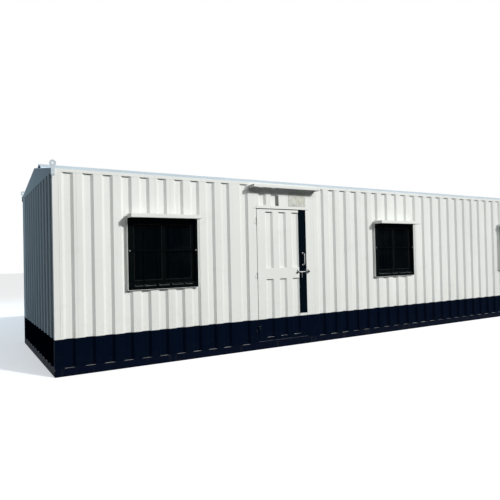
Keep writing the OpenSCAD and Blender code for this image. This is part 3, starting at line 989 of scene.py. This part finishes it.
@dataclass(frozen=True)
class Shell:
    """Sizes that the sub-assemblies share, measured from the front left corner."""

    length: float = 2 * HALF_LENGTH
    width: float = 2 * HALF_WIDTH
    eave: float = 2.56
    gable_rise: float = 0.25
    base: float = 0.10
    deck: float = 0.118
    sheet_top: float = 2.52
    post: float = 0.075
    trough_first: float = 0.16
    trough_pitch: float = 0.25
    front_first: float = 0.177
    front_pitch: float = 0.2465
    front_count: int = 10
    door_left: float = 2.712
    door_right: float = 4.187
    trough_mouth: float = 0.143
    trough_floor: float = 0.075
    trough_depth: float = 0.03
    windows: tuple[float, ...] = (1.42, 5.91, 9.69)

    def at(self, x: Places, y: Places, z: Places) -> Array:
        """Places measured from the front left corner, in the frame of the part."""
        corner = np.array([self.length / 2, self.width / 2, 0.0])
        return np.stack(np.broadcast_arrays(*np.atleast_1d(x, y, z)), axis=-1) - corner

    def corners(self, inset: float) -> tuple[Array, Array]:
        """Places along X and Y on the long sides, at an inset from each of the four corners."""
        return np.array([inset, self.length - inset] * 2), np.repeat([0.0, self.width], 2)

    def front_troughs(self) -> Array:
        """The front wall's troughs: an even row, one by the door, and an even row beyond it.

        Returns:
            Their middles along X.
        """
        left = self.front_first + self.front_pitch * np.arange(self.front_count)
        right = np.arange(self.door_right, self.length - self.post - self.trough_mouth / 2, self.trough_pitch)
        return np.concatenate([left, [self.door_left], right])

    def front_crests(self) -> Array:
        """The crests between the front wall's troughs, left out at the doorway.

        Returns:
            Their middles along X.
        """
        troughs = self.front_troughs()
        gaps = np.diff(troughs)
        return (troughs[:-1] + gaps / 2)[gaps < 2 * self.trough_pitch]

    def depth(self, along: Array) -> Array:
        """The pressed front wall: a flank falls evenly from each edge of a trough's mouth to its flat floor.

        Args:
            along: places along the wall.

        Returns:
            Depth of the wall at each place.
        """
        off = np.abs(along[..., None] - self.front_troughs()).min(axis=-1)
        flank = (self.trough_mouth - self.trough_floor) / 2
        return self.trough_depth * np.clip((self.trough_mouth / 2 - off) / flank, 0.0, 1.0)

    def crests(self, inset: float, length: float) -> Array:
        """The flat crests along a wall with evenly spaced troughs.

        Args:
            inset: distance from both ends within which crests are left out.
            length: length of the wall.

        Returns:
            Middles of the crests.
        """
        first = self.trough_first + self.trough_pitch / 2
        middles = first + self.trough_pitch * np.arange(-1, int(length / self.trough_pitch) + 1)
        return middles[(middles > inset) & (middles < length - inset)]

    def beads(self, starts: Array, ends: Array, radius: float, steps: int, sides: int = 8,
              side: Triple = UP) -> Array:
        """Round beads or bars: a circle carried straight from each start to each end."""
        return carried(straight(starts, ends, steps), round_profile(radius, sides), side)


class Workshop:
    """Keeps the made finishes, and dresses pieces and nodes with them."""

    def __init__(self) -> None:
        """Starts with no finish."""
        self.made: dict[str, bpy.types.Material] = {}

    def finish(self, finish: Finish) -> bpy.types.Material:
        """Gives a finish's material, built on its first use.

        Args:
            finish: the finish.

        Returns:
            The material.
        """
        if finish.name not in self.made:
            self.made[finish.name] = finish.material()
        return self.made[finish.name]

    def dress(self, finish: Finish, *nodes: str) -> None:
        """Gives nodes of the part a finish.

        Args:
            finish: the finish.
            nodes: names of the nodes.
        """
        material = self.finish(finish)
        for node in nodes:
            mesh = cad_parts[node].data
            mesh.materials.clear()
            mesh.materials.append(material)
            LOG.info("dressed %s with %s", node, material.name)

    def add(self, name: str, grids: Array, finish: Finish, slot: str = "white_paint", body: str = "cabin",
            wrap_rows: bool = False) -> None:
        """Builds a new piece, finishes it and sets it on a body.

        Args:
            name: name of the piece.
            grids: its grids of places.
            finish: the finish.
            slot: the record's material slot that it belongs to; not used.
            body: name of the body that it moves with.
            wrap_rows: whether each grid's last row joins its first.
        """
        piece = patches(name, grids, wrap_rows)
        piece.data.materials.append(self.finish(finish))
        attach(piece, body)
        LOG.info("built %s with %d faces", name, len(piece.data.polygons))


@dataclass
class Steelwork:
    """Walls, posts, rails and base, with their weld beads."""

    shell: Shell
    bead: float = 0.0032
    bead_end: float = 0.004
    stitch: float = 0.07
    stitch_margin: float = 0.05
    lug_bead: float = 0.005
    lug_side: float = 0.0335
    lug_drop: float = 0.085
    lug_ends: Pair = (0.003, 0.002)
    stud: Pair = (0.009, 0.006)
    stud_inset: float = 0.010
    stud_height: float = 2.448
    dark_flank: Pair = (-2.793, -2.744)
    slanted: Triple = (0.6, 0.8, 0.0)

    def build(self, shop: Workshop) -> None:
        """Dresses the steel and adds the welds.

        Args:
            shop: where finishes are kept.
        """
        # The end walls' troughs get five times the front's dirt and painted shade.
        end_sheets, one_sheet = Pressing(dirt_and_shade=0.15), Pressing(seam_pitch=40.0)
        trim = BandedPaint("trim_paint")
        shop.dress(BandedPaint("sheet_paint", pressing=Pressing()),
                   "front_wall_left", "front_wall_right", "back_wall")
        shop.dress(BandedPaint("end_sheet_paint", pressing=end_sheets, specular=0.0),
                   "left_end_wall", "right_end_wall")
        shop.dress(BandedPaint("gable_paint", Grime.HEAVY, specular=0.0),
                   "gable_left", "gable_right", "top_rail_left", "top_rail_right")
        shop.dress(BandedPaint("header_paint", pressing=one_sheet, marks=(DarkFlank(self.dark_flank),)),
                   "front_wall_header")
        shop.dress(trim, "corner_posts", "top_rail_front", "top_rail_back")
        # Painted shade: the lugs' blue-grey stands in for the cool shade they lie in; pale dust lies on what
        # faces up.
        shop.dress(weathered("lug_paint", (0.58, 0.66, 0.71), (0.72, 0.76, 0.79), 0.5, 0.5), "lifting_lugs")
        # The base rails' near-white tops are dust and painted light: their ledges read as lit from above.
        shop.dress(weathered("base_paint", BASE_NAVY, (0.74, 0.74, 0.72), 0.95, 0.30, 0.5), "base_rail_front",
                   "base_rail_back", "base_rail_left", "base_rail_right", "floor_joists")
        shop.add("post_welds", self.post_beads(), WELD)
        shop.add("lug_welds", self.lug_beads(), WELD)
        shop.add("lug_studs", self.lug_studs(), trim)
        shop.add("stitch_welds", self.stitch_beads(), WELD)

    def post_beads(self) -> Array:
        """Upright beads where the sheets meet the corner posts: a circle carried straight up.

        Returns:
            Grids of the beads.
        """
        s = self.shell
        x, y = s.corners(s.post)
        x = np.concatenate([x, np.repeat([0.0, s.length], 2)])
        y = np.concatenate([y, np.tile([s.post, s.width - s.post], 2)])
        low, high = s.at(x, y, s.base + self.bead_end), s.at(x, y, s.sheet_top - self.bead_end)
        return s.beads(low, high, self.bead, 24, side=self.slanted)

    def lug_beads(self) -> Array:
        """Upright beads along the inner side of each lifting lug: a circle carried straight up.

        Returns:
            Grids of the beads.
        """
        s, (x, y), (below, short) = self.shell, self.shell.corners(self.lug_side), self.lug_ends
        low, high = s.at(x, y, s.eave - self.lug_drop - below), s.at(x, y, s.eave - short)
        return s.beads(low, high, self.lug_bead, 8, side=self.slanted)

    def lug_studs(self) -> Array:
        """A domed stud below each lifting lug."""
        centres = self.shell.at(*self.shell.corners(self.stud_inset), self.stud_height)
        return heads(centres, np.repeat([OUT, (0.0, 1.0, 0.0)], 2, axis=0), *self.stud)

    def stitch_beads(self) -> Array:
        """Short level beads on the crests, along the base and the top rail: a circle carried along the
        wall, for the long sides first, and then for the ends.

        Returns:
            Grids of the beads.
        """
        s, half, inset = self.shell, self.stitch / 2, self.shell.post + self.stitch_margin
        front, back, end = s.front_crests(), s.crests(inset, s.length), s.crests(inset, s.width)
        levels, counts = [s.base, s.sheet_top] * 2, [len(front)] * 2 + [len(back)] * 2
        x, v = np.concatenate([front, front, back, back]), np.tile(end, 4)
        y, z = np.repeat([0.0, 0.0, s.width, s.width], counts), np.repeat(levels, counts)
        u, w = np.repeat([0.0, 0.0, s.length, s.length], len(end)), np.repeat(levels, len(end))
        starts = np.concatenate([s.at(x - half, y, z), s.at(u, v - half, w)])
        ends = np.concatenate([s.at(x + half, y, z), s.at(u, v + half, w)])
        return s.beads(starts, ends, self.bead, 5, 6)


@dataclass
class Windows:
    """Three sliding windows: surrounds, frames, sashes, panes, bars and seals."""

    shell: Shell
    width: float = 1.015
    height: float = 0.97
    sill: float = 1.01
    track_in: float = 0.038
    foot: float = 0.074
    guard: float = 1.534
    front: float = -0.025
    guard_depth: float = 0.010
    web: float = 0.004
    sash_depth: float = 0.020
    sash_bar: float = 0.052
    sash_lap: float = 0.052
    glass: float = 0.006
    bars: int = 4
    bar_radius: float = 0.004
    bead: float = 0.004
    bead_steps: int = 97
    stud_out: float = 0.006
    trays: tuple[Pair, ...] = ((-0.414, -0.295), (-0.277, -0.12), (-0.076, 0.068),
                               (0.113, 0.281), (0.309, 0.413))
    tray: Triple = (0.010, 0.006, 0.004)
    stop_width: float = 0.010
    stop: Triple = (0.026, 0.008, 0.004)
    stud: Pair = (0.008, 0.004)
    tray_lift: float = 0.052
    stop_lift: float = 0.060
    gasket: tuple[Pair, ...] = ((0.0, 0.0), (0.008, 0.0), (0.0072, 0.0022), (0.0045, 0.0048), (0.0, 0.0058))

    def build(self, shop: Workshop) -> None:
        """Dresses the windows and adds their bars, seals, studs, trays and welds.

        Args:
            shop: where finishes are kept.
        """
        black = black_coat("black_coated_frames", (0.0008, 0.0021, 0.0026), (0.20, 0.22, 0.21))
        # The trays' pale tops are dust and painted light: the ledges between the bars read as lit.
        dusty_and_lit = black_coat("dusty_lit_trays", (0.050, 0.060, 0.062), (0.70, 0.73, 0.73))
        grey = ZincSteel("grey_studs", (0.34, 0.36, 0.36), 0.5)
        shop.dress(BandedPaint("surround_paint"), "window_surrounds")
        shop.dress(black, "window_frames", "window_sashes")
        shop.dress(GLASS, "window_glass")
        shop.add("window_bars", self.bar_grids(), black, "window_black")
        shop.add("window_gaskets", self.gasket_grids(), RUBBER, "window_black", wrap_rows=True)
        shop.add("window_studs", self.stud_grids(), grey, "bare_steel")
        shop.add("window_trays", self.tray_grids(), dusty_and_lit, "window_black")
        shop.add("window_welds", self.weld_grids(), WELD)

    @property
    def opening(self) -> float:
        """Width between the tracks."""
        return self.width - 2 * self.track_in

    def spread(self, offsets: Sequence[float]) -> Array:
        """Places along the front at the same offsets from the middle of each window."""
        return (np.asarray(self.shell.windows)[:, None] + np.asarray(offsets)[None, :]).reshape(-1)

    def bar_grids(self) -> Array:
        """Upright round bars in front of the panes, evenly spaced: a circle carried straight up.

        Returns:
            Grids of the bars.
        """
        s, y = self.shell, self.front + self.guard_depth / 2
        x = self.spread(((np.arange(self.bars) + 1) / (self.bars + 1) - 0.5) * self.opening)
        low, high = s.at(x, y, self.sill + self.foot), s.at(x, y, self.sill + self.height - self.track_in)
        return s.beads(low, high, self.bar_radius, 6, 10, (0.0, 1.0, 0.0))

    def panes(self) -> tuple[Array, Array]:
        """The panes' boxes, from the sash bars around them, and their places in the two tracks.

        Returns:
            Left, right, bottom and top of each pane, and the place of its front along Y.
        """
        sash = (self.opening + self.sash_lap) / 2
        reach, half = (self.opening - sash) / 2, sash / 2 - self.sash_bar
        x = self.spread([-reach, reach]) - self.shell.length / 2
        low = self.sill + self.foot + self.sash_bar
        high = self.sill + self.height - self.track_in - self.sash_bar
        first = self.front + self.guard_depth + self.web + (self.sash_depth - self.glass) / 2
        tracks = np.tile([first, first + self.web + self.sash_depth], len(self.shell.windows))
        boxes = np.stack([x - half, x + half, np.full_like(x, low), np.full_like(x, high)], axis=-1)
        return boxes, tracks - self.shell.width / 2

    def gasket_grids(self) -> Array:
        """Rubber wedges around both faces of each pane: a five-sided profile with mitred corners.

        Returns:
            Grids of the wedges, the outer ones first.
        """
        profile, (boxes, planes) = np.array(self.gasket), self.panes()
        faces = ((planes, -1.0), (planes + self.glass, 1.0))
        return np.concatenate([mitred(boxes, face, profile, outwards) for face, outwards in faces])

    def stud_grids(self) -> Array:
        """Domed studs at both ends of each guard bar."""
        reach = self.opening / 2 + self.stud_out
        return heads(self.shell.at(self.spread([-reach, reach]), self.front, self.guard), OUT, *self.stud)

    def tray_grids(self) -> Array:
        """Shallow drain trays along the foot of each frame, one in each bay between the bars, each
        with an upright stop at its left end.

        Returns:
            Grids of the trays, and then of the stops.
        """
        s, (left, right) = self.shell, np.asarray(self.trays).T
        widths = np.tile(right - left, len(s.windows))
        middles = s.at(self.spread((left + right) / 2), self.front, self.sill + self.tray_lift)
        ends = s.at(self.spread(left), self.front, self.sill + self.stop_lift)
        return np.concatenate([rounded_blocks(middles, widths, *self.tray),
                               rounded_blocks(ends, self.stop_width, *self.stop)])

    def weld_grids(self) -> Array:
        """Beads below and beside each surround: a circle carried along the pressed face of the wall.

        Returns:
            Grids of the level beads, and then of the upright ones.
        """
        s, half = self.shell, self.width / 2
        x = self.spread(np.linspace(-half, half, self.bead_steps)).reshape(-1, self.bead_steps)
        level = carried(s.at(x, s.depth(x), self.sill), round_profile(self.bead, 6), UP)
        edge = self.spread([-half, half])
        low, high = (s.at(edge, s.depth(edge), z) for z in (self.sill, self.sill + self.height))
        return np.concatenate([level, s.beads(low, high, self.bead, self.bead_steps, 6, (0.0, 1.0, 0.0))])


@dataclass
class Hoods:
    """Folded rain hoods over the windows and the door, with hemmed edges."""

    shell: Shell
    window_reach: float = 0.200
    door_reach: float = 0.155
    hem: float = 0.0035
    hem_lift: float = 0.2
    window_half: float = 0.5025
    window_low: float = 1.967
    window_back: float = -0.029
    door_left: float = 2.8085
    door_right: float = 4.0685
    door_low: float = 2.472
    door_back: float = -0.004

    def build(self, shop: Workshop) -> None:
        """Dresses the hoods and adds their hems.

        Args:
            shop: where finishes are kept.
        """
        paint = BandedPaint("hood_paint")
        shop.dress(paint, "window_hoods", "door_hood")
        shop.add("hood_hems", self.hem_grids(), paint)

    def hem_grids(self) -> Array:
        """Rolled hems along the front and the sides of each hood: a circle carried straight, lying
        inside the hood's own outline.

        Returns:
            Grids of the hems.
        """
        s, middles = self.shell, np.asarray(self.shell.windows)
        left = np.append(middles - self.window_half, self.door_left) + self.hem
        right = np.append(middles + self.window_half, self.door_right) - self.hem
        sizes = ((self.window_low, self.door_low), (self.window_reach, self.door_reach),
                 (self.window_back, self.door_back))
        low, reach, back = (np.append(np.full(len(middles), window), door) for window, door in sizes)
        low, front = low + self.hem * self.hem_lift, self.hem - reach
        starts = [s.at(left, front, low), s.at(left, back, low), s.at(right, back, low)]
        ends = [s.at(right, front, low), s.at(left, front, low), s.at(right, front, low)]
        return s.beads(np.concatenate(starts), np.concatenate(ends), self.hem, 3, 10)


@dataclass
class Doorway:
    """The door leaf in its frame, with hinges, pull handle, sliding bolt, stops and vent plate."""

    shell: Shell
    leaf_left: float = 2.937
    leaf_right: float = 3.87
    gap: float = 0.005
    head: float = 2.163
    leaf_top: float = 2.154
    panel_tops: Pair = (1.068, 2.116)
    panel_recess: Pair = (0.003, 0.012)
    # Share of painted shadow under the top ledges of the recessed panels.
    panel_top_shade: float = 0.72
    # Share of painted shade in the gap beside the left jamb.
    jamb_gap_shade: float = 0.8
    edge: float = 0.0009
    edge_soft: float = 0.0005
    beyond: float = 1.0
    hinge: float = 2.9345
    hinge_bottoms: tuple[float, ...] = (0.253, 1.0885, 1.924)
    hinge_half: float = 0.05
    hinge_reach: float = 0.027
    hinge_screws: Pair = (0.012, 0.038)
    hinge_plate: float = 0.004
    screw: Pair = (0.005, 0.0022)
    handle_x: float = 3.805
    handle_feet: Pair = (1.273, 1.463)
    rose: Pair = (0.014, 0.0035)
    bolt_z: float = 1.163
    bolt_grime: float = 0.014
    guides: tuple[float, ...] = (3.6905, 3.8455)
    keeper: float = 3.902
    tab_reach: float = 0.023
    tab: Pair = (0.020, 0.022)
    tab_depth: float = 0.0025
    tab_corner: float = 0.006
    tab_stud: Pair = (0.0045, 0.0025)
    tab_stud_reach: float = 0.025
    stripe_width: float = 0.145
    stripe_heights: Pair = (0.497, 2.3)
    stop: tuple[Pair, ...] = ((0.0, 0.050), (0.012, 0.050), (0.014, 0.052), (0.014, 0.066), (0.0, 0.066))
    lip_radius: float = 0.0035
    lip_inset: float = 0.007
    lip_y: float = 0.050
    rivet_insets: Triple = (0.328, 0.170, 0.012)
    rivet_heights: Pair = (2.225, 2.416)
    rivet: Pair = (0.004, 0.002)
    vent_plate: float = 0.003
    foot_gap: float = 0.001

    def build(self, shop: Workshop) -> None:
        """Dresses the doorway and adds its small fittings.

        Args:
            shop: where finishes are kept.
        """
        painted = BandedPaint("door_frame_paint", marks=self.frame_marks())
        steel = ZincSteel("worn_steel", (0.30, 0.31, 0.31), 0.42)
        dull = weathered("dark_fittings", (0.035, 0.040, 0.044), (0.30, 0.30, 0.29), 0.4, 0.5, 0.5, 0.2)
        shop.dress(BandedPaint("door_paint", marks=self.leaf_marks()), "door_leaf")
        shop.dress(painted, "door_jambs", "door_head", "door_hinges")
        # The sill's pale blue-grey top is dust and painted light, as if lit from above.
        shop.dress(weathered("sill_paint", BASE_NAVY, (0.72, 0.76, 0.80), 1.0, 0.1, 0.5), "door_sill")
        shop.dress(steel, "door_handle")
        shop.dress(ZincSteel("bolt_steel", (0.36, 0.37, 0.37), 0.38, self.bolt_z - self.bolt_grime),
                   "door_bolt")
        shop.dress(dull, "bolt_guides", "bolt_keeper")
        shop.dress(VENT_PLATE, "vent_panel")
        shop.add("door_stops", self.stop_grids(), painted)
        shop.add("door_seal", self.seal_grids(), RUBBER, "window_black")
        shop.add("hinge_screws", self.screw_grids(0.0, -self.hinge_reach), painted)
        shop.add("leaf_hinge_screws", self.screw_grids(self.hinge_half, self.hinge_reach), painted, body="door")
        shop.add("handle_roses", self.rose_grids(), steel, "bare_steel", "door")
        for name, places, body in (("guide", self.guides, "door"), ("keeper", (self.keeper,), "cabin")):
            shop.add(f"{name}_tabs", self.tab_grids(places), dull, "bare_steel", body)
            shop.add(f"{name}_studs", self.tab_studs(places), dull, "bare_steel", body)
        shop.add("vent_rivets", self.rivet_grids(), steel, "bare_steel")

    def leaf_marks(self) -> tuple[Union[Stripe, Gap], ...]:
        """The leaf's stripe, and painted shade on its left edge, its top and the upper ends of its panels.

        Returns:
            The marks, in the order in which they lie over each other.
        """
        left, right = self.leaf_left - HALF_LENGTH, self.leaf_right - HALF_LENGTH
        recess = tuple(depth - HALF_WIDTH for depth in self.panel_recess)
        # Painted shadow below the top ledge of each recessed panel.
        panels = (Gap(Axis.Z, (top - 0.017, top + 0.001), 0.004, self.panel_top_shade, recess)
                  for top in self.panel_tops)
        return (Stripe((right - self.stripe_width, right + 0.01), self.stripe_heights),
                Gap(Axis.X, (left - self.beyond, left + self.edge), self.edge_soft),
                Gap(Axis.Z, (self.leaf_top - self.edge, self.leaf_top + self.beyond), self.edge_soft), *panels)

    def frame_marks(self) -> tuple[Gap, ...]:
        """Painted shade under the head and along the left jamb.

        Returns:
            The marks.
        """
        jamb = self.leaf_left - self.gap - HALF_LENGTH
        return (Gap(Axis.Z, (self.head - 0.001, self.head + 0.004), 0.001),
                Gap(Axis.X, (jamb - 0.003, jamb + 0.001), 0.001, self.jamb_gap_shade))

    def frame_path(self, inset: float, y: float) -> Array:
        """A path up the left jamb, along the head and down the right jamb.

        Args:
            inset: distance by which it is drawn in from the frame.
            y: its place across the wall.

        Returns:
            Its four corners.
        """
        left, right = self.leaf_left - self.gap + inset, self.leaf_right + self.gap - inset
        low, high = self.shell.deck + self.foot_gap, self.head - inset
        return self.shell.at(np.array([left, left, right, right]), y, np.array([low, high, high, low]))

    def stop_grids(self) -> Array:
        """Stops behind the leaf on three sides: a rectangle with one eased edge, whose corners are
        mitred because each profile point has a path of its own."""
        return np.stack([self.frame_path(inset, y) for inset, y in self.stop], axis=1)[None]

    def seal_grids(self) -> Array:
        """A soft rubber lip on the front of the stops: a half round with mitred corners.

        Returns:
            Grids of the lip.
        """
        angle = np.linspace(0.0, math.pi, 6)
        lip = self.lip_radius * np.stack([np.cos(angle), np.sin(angle)], axis=-1)
        return np.stack([self.frame_path(self.lip_inset + u, self.lip_y - v) for u, v in lip], axis=1)[None]

    def screw_grids(self, lift: float, reach: float) -> Array:
        """Domed screws on the hinge plates of one side, two on each plate."""
        z = (np.add.outer(self.hinge_bottoms, self.hinge_screws) + lift).reshape(-1)
        return heads(self.shell.at(self.hinge + reach, -self.hinge_plate, z), OUT, *self.screw)

    def rose_grids(self) -> Array:
        """Round roses at the feet of the pull handle, each a low dome."""
        return heads(self.shell.at(self.handle_x, 0.0, np.asarray(self.handle_feet)), OUT, *self.rose)

    def beside_bolt(self, places: Sequence[float], reach: float, y: float) -> Array:
        """Places above and below the bolt at each of its blocks."""
        z = np.tile([self.bolt_z - reach, self.bolt_z + reach], len(places))
        return self.shell.at(np.repeat(places, 2), y, z)

    def tab_grids(self, places: Sequence[float]) -> Array:
        """Fixing tabs above and below each block of the bolt."""
        centres = self.beside_bolt(places, self.tab_reach, 0.0)
        return rounded_blocks(centres, *self.tab, self.tab_depth, self.tab_corner)

    def tab_studs(self, places: Sequence[float]) -> Array:
        """A domed stud on each fixing tab."""
        return heads(self.beside_bolt(places, self.tab_stud_reach, -self.tab_depth), OUT, *self.tab_stud)

    def rivet_grids(self) -> Array:
        """Rivets around the edge of the vent plate."""
        x, z = np.meshgrid(self.leaf_right + self.gap - np.asarray(self.rivet_insets), self.rivet_heights)
        return heads(self.shell.at(x.reshape(-1), -self.vent_plate, z.reshape(-1)), OUT, *self.rivet)


@dataclass
class Roof:
    """Two pressed slopes and a ridge cap, held down by washered screws."""

    shell: Shell
    sheet: float = 0.003
    rows: Pair = (0.06, 1.20)
    margin: float = 0.1
    cap_half: float = 0.2
    cap_lip: float = 0.024
    cap_top: float = 0.07
    cap_inset: float = 0.06
    cap_row: float = 0.035
    screw: Pair = (0.0055, 0.007)

    def build(self, shop: Workshop) -> None:
        """Dresses the roof and adds its screws.

        Args:
            shop: where finishes are kept.
        """
        paint = weathered("roof_paint", (0.66, 0.80, 0.90), (0.52, 0.52, 0.50), 0.25, 0.20, 0.42, 0.3, 0.3)
        shop.dress(paint, "roof_front", "roof_back", "ridge_cap")
        zinc = ZincSteel("zinc_plated_steel")
        shop.add("roof_screws", self.sheet_screws(), zinc, "bare_steel")
        shop.add("ridge_screws", self.cap_screws(), zinc, "bare_steel")

    def screws(self, x: Array, y: Places, z: Places, tilt: float) -> Array:
        """Screws at like places on both slopes, square to them.

        Args:
            x: places along the roof.
            y: places across it, from the front.
            z: heights.
            tilt: angle of the slope.

        Returns:
            Grids of the heads, for the front slope first.
        """
        s, back = self.shell, self.shell.width - y
        side, up = math.sin(tilt), math.cos(tilt)
        normals = np.repeat([[0.0, -side, up], [0.0, side, up]], len(x), axis=0)
        return heads(np.concatenate([s.at(x, y, z), s.at(x, back, z)]), normals, *self.screw, HeadForm.HEX)

    def sheet_screws(self) -> Array:
        """Rows of screws along the eaves and below the cap: a run up the slope, plus the sheet's
        thickness square to it.

        Returns:
            Grids of the heads.
        """
        s, slope = self.shell, math.atan2(self.shell.gable_rise, self.shell.width / 2)
        along = s.crests(self.margin, s.length)
        run = np.repeat(self.rows, len(along))
        y = run * math.cos(slope) - self.sheet * math.sin(slope)
        z = s.eave + run * math.sin(slope) + self.sheet * math.cos(slope)
        return self.screws(np.tile(along, len(self.rows)), y, z, slope)

    def cap_screws(self) -> Array:
        """Screws along both lower edges of the ridge cap, at every second crest.

        Returns:
            Grids of the heads.
        """
        s = self.shell
        lip = s.eave + s.gable_rise * (1 - self.cap_half / (s.width / 2)) + self.sheet + self.cap_lip
        tilt = math.atan2(s.eave + s.gable_rise + self.cap_top - lip, self.cap_half)
        along = s.crests(self.cap_inset + self.margin, s.length)[::2]
        y = s.width / 2 - self.cap_half + self.cap_row
        return self.screws(along, y, lip + self.cap_row * math.tan(tilt), tilt)


@dataclass
class Interior:
    """Lining boards, ceiling and floor of the room."""

    sheet: float = 1.22
    plank: float = 0.18

    def build(self, shop: Workshop) -> None:
        """Dresses the room.

        Args:
            shop: where finishes are kept.
        """
        lining = Boards("lining_boards", (0.66, 0.56, 0.42), (0.52, 0.40, 0.27), BoardRun.WALLS, self.sheet,
                        groove=0.003)
        ceiling = Boards("ceiling_boards", (0.78, 0.77, 0.73), (0.70, 0.68, 0.63), BoardRun.CROSSWISE,
                         self.sheet, groove=0.004)
        floor = Boards("floor_boards", (0.40, 0.30, 0.20), (0.27, 0.19, 0.12), BoardRun.LENGTHWISE, self.plank,
                       groove=0.0015, rough=0.4)
        shop.dress(lining, "front_lining_left", "front_lining_right", "front_lining_header", "back_lining",
                   "left_end_lining", "right_end_lining")
        shop.dress(ceiling, "ceiling")
        shop.dress(floor, "floor_deck")


@dataclass(frozen=True)
class SoftBox:
    """A rectangular lamp: its power, colour, size and place, and where it is aimed."""

    name: str
    power: float
    colour: Colour
    size: Pair
    place: Triple
    aim: Triple


@dataclass
class Studio:
    """Pale floor, soft light and the camera at the photograph's angle."""

    eye: Triple = (-7.1087, -7.8427, 1.4173)
    yaw: float = 31.149
    pitch: float = 0.829
    roll: float = -1.2467
    focal: float = 486.58
    picture: float = 500.0
    sensor: float = 36.0
    clip_end: float = 300.0
    to_sun: Triple = (0.55, -1.0, 0.54)
    sun_power: float = 2.56
    sun_colour: Colour = (1.0, 0.985, 0.95)
    sun_width: float = 2.0
    boxes: tuple[SoftBox, ...] = (
        SoftBox("soft_box", 850.0, (0.97, 0.99, 1.0), (14.0, 6.0), (-0.5, -13.0, 9.0), (-1.0, 0.0, 1.2)),
        SoftBox("shade_box", 430.0, (0.56, 0.79, 1.0), (5.0, 5.0), (-12.0, 9.0, 4.5), (-6.0, 0.0, 1.5)))
    sky: Colour = (0.020, 0.034, 0.050)
    white: Colour = (1.0, 1.0, 1.0)
    floor_reach: float = 60.0
    floor_level: float = -0.001
    floor_seen: Colour = (0.88, 0.88, 0.88)
    floor_glow: Colour = (0.5, 0.5, 0.5)
    floor_bounce: Colour = (0.10, 0.10, 0.105)
    dark: Colour = (0.0, 0.0, 0.0)

    def build(self) -> None:
        """Makes the floor, the surround, the lamps and the camera."""
        bpy.context.scene.view_settings.view_transform = "Standard"
        self.make_floor()
        self.make_surround()
        self.make_lamps()
        self.make_camera()

    def make_floor(self) -> None:
        """A wide floor at ground level, white to the camera and dim as a reflector of light."""
        x, y = np.meshgrid([-self.floor_reach, self.floor_reach], [-self.floor_reach, self.floor_reach])
        places = np.stack([x, y, np.full_like(x, self.floor_level)], axis=-1).reshape(-1, 3)
        mesh = bpy.data.meshes.new("studio_floor")
        mesh.from_pydata(places, [], [(0, 1, 3, 2)])
        g = Graph(bpy.data.materials.new("studio_floor"))
        seen = g.seen()
        paint, light = g.mix(seen, self.floor_bounce, self.floor_seen), g.mix(seen, self.dark, self.floor_glow)
        matt = g.pick("ShaderNodeBsdfDiffuse", 0, None, {"Color": paint})
        glow = g.pick("ShaderNodeEmission", 0, None, {"Color": light})
        both = g.pick("ShaderNodeAddShader", 0, None, {0: matt, 1: glow})
        g.node("ShaderNodeOutputMaterial", None, {"Surface": both})
        mesh.materials.append(g.owner)
        floor = linked("studio_floor", mesh)

    def make_surround(self) -> None:
        """A white surround for what is seen, and a dim cool sky for the light that falls."""
        g = Graph(bpy.data.worlds.new("studio"))
        dim, white = (g.pick("ShaderNodeBackground", 0, None, {"Color": c}) for c in (self.sky, self.white))
        mixed = g.pick("ShaderNodeMixShader", 0, None, {0: g.seen(), 1: dim, 2: white})
        g.node("ShaderNodeOutputWorld", None, {"Surface": mixed})
        bpy.context.scene.world = g.owner

    def make_lamps(self) -> None:
        """A key light from the upper right front, a wide soft box in front of the long side, and a
        cool one behind the left end."""
        key = bpy.data.lights.new("key", "SUN")
        key.energy, key.color, key.angle = self.sun_power, self.sun_colour, math.radians(self.sun_width)
        linked("key", key).rotation_euler = Vector(self.to_sun).to_track_quat("Z", "Y").to_euler()
        for box in self.boxes:
            lamp = bpy.data.lights.new(box.name, "AREA")
            lamp.energy, lamp.color = box.power, box.colour
            lamp.shape, (lamp.size, lamp.size_y) = "RECTANGLE", box.size
            holder, towards = linked(box.name, lamp), Vector(box.aim) - Vector(box.place)
            holder.location = box.place
            holder.rotation_euler = towards.to_track_quat("-Z", "Y").to_euler()

    def make_camera(self) -> None:
        """A camera whose three axes come from the yaw, the pitch and the roll."""
        yaw, pitch, roll = (math.radians(a) for a in (self.yaw, self.pitch, self.roll))
        right = Vector((math.cos(yaw), -math.sin(yaw), 0.0))
        ahead = Vector((math.sin(yaw) * math.cos(pitch), math.cos(yaw) * math.cos(pitch), math.sin(pitch)))
        upward = right.cross(ahead)
        side = math.cos(roll) * right + math.sin(roll) * upward
        top = math.cos(roll) * upward - math.sin(roll) * right
        data = bpy.data.cameras.new("view")
        data.sensor_fit, data.sensor_width = "HORIZONTAL", self.sensor
        data.lens = self.focal / self.picture * self.sensor
        data.clip_end = self.clip_end
        camera = linked("view", data)
        axes = Matrix((side, top, -ahead)).transposed().to_4x4()
        camera.matrix_world = Matrix.Translation(self.eye) @ axes
        bpy.context.scene.camera = camera


def main() -> None:
    """Builds the sub-assemblies in order."""
    logging.basicConfig(level=logging.INFO, format="%(name)s: %(message)s")
    shell, shop = Shell(), Workshop()
    for part in (Steelwork(shell), Windows(shell), Hoods(shell), Doorway(shell), Roof(shell), Interior()):
        LOG.info("building %s", type(part).__name__)
        part.build(shop)
    Studio().build()


if __name__ == "__main__":
    main()
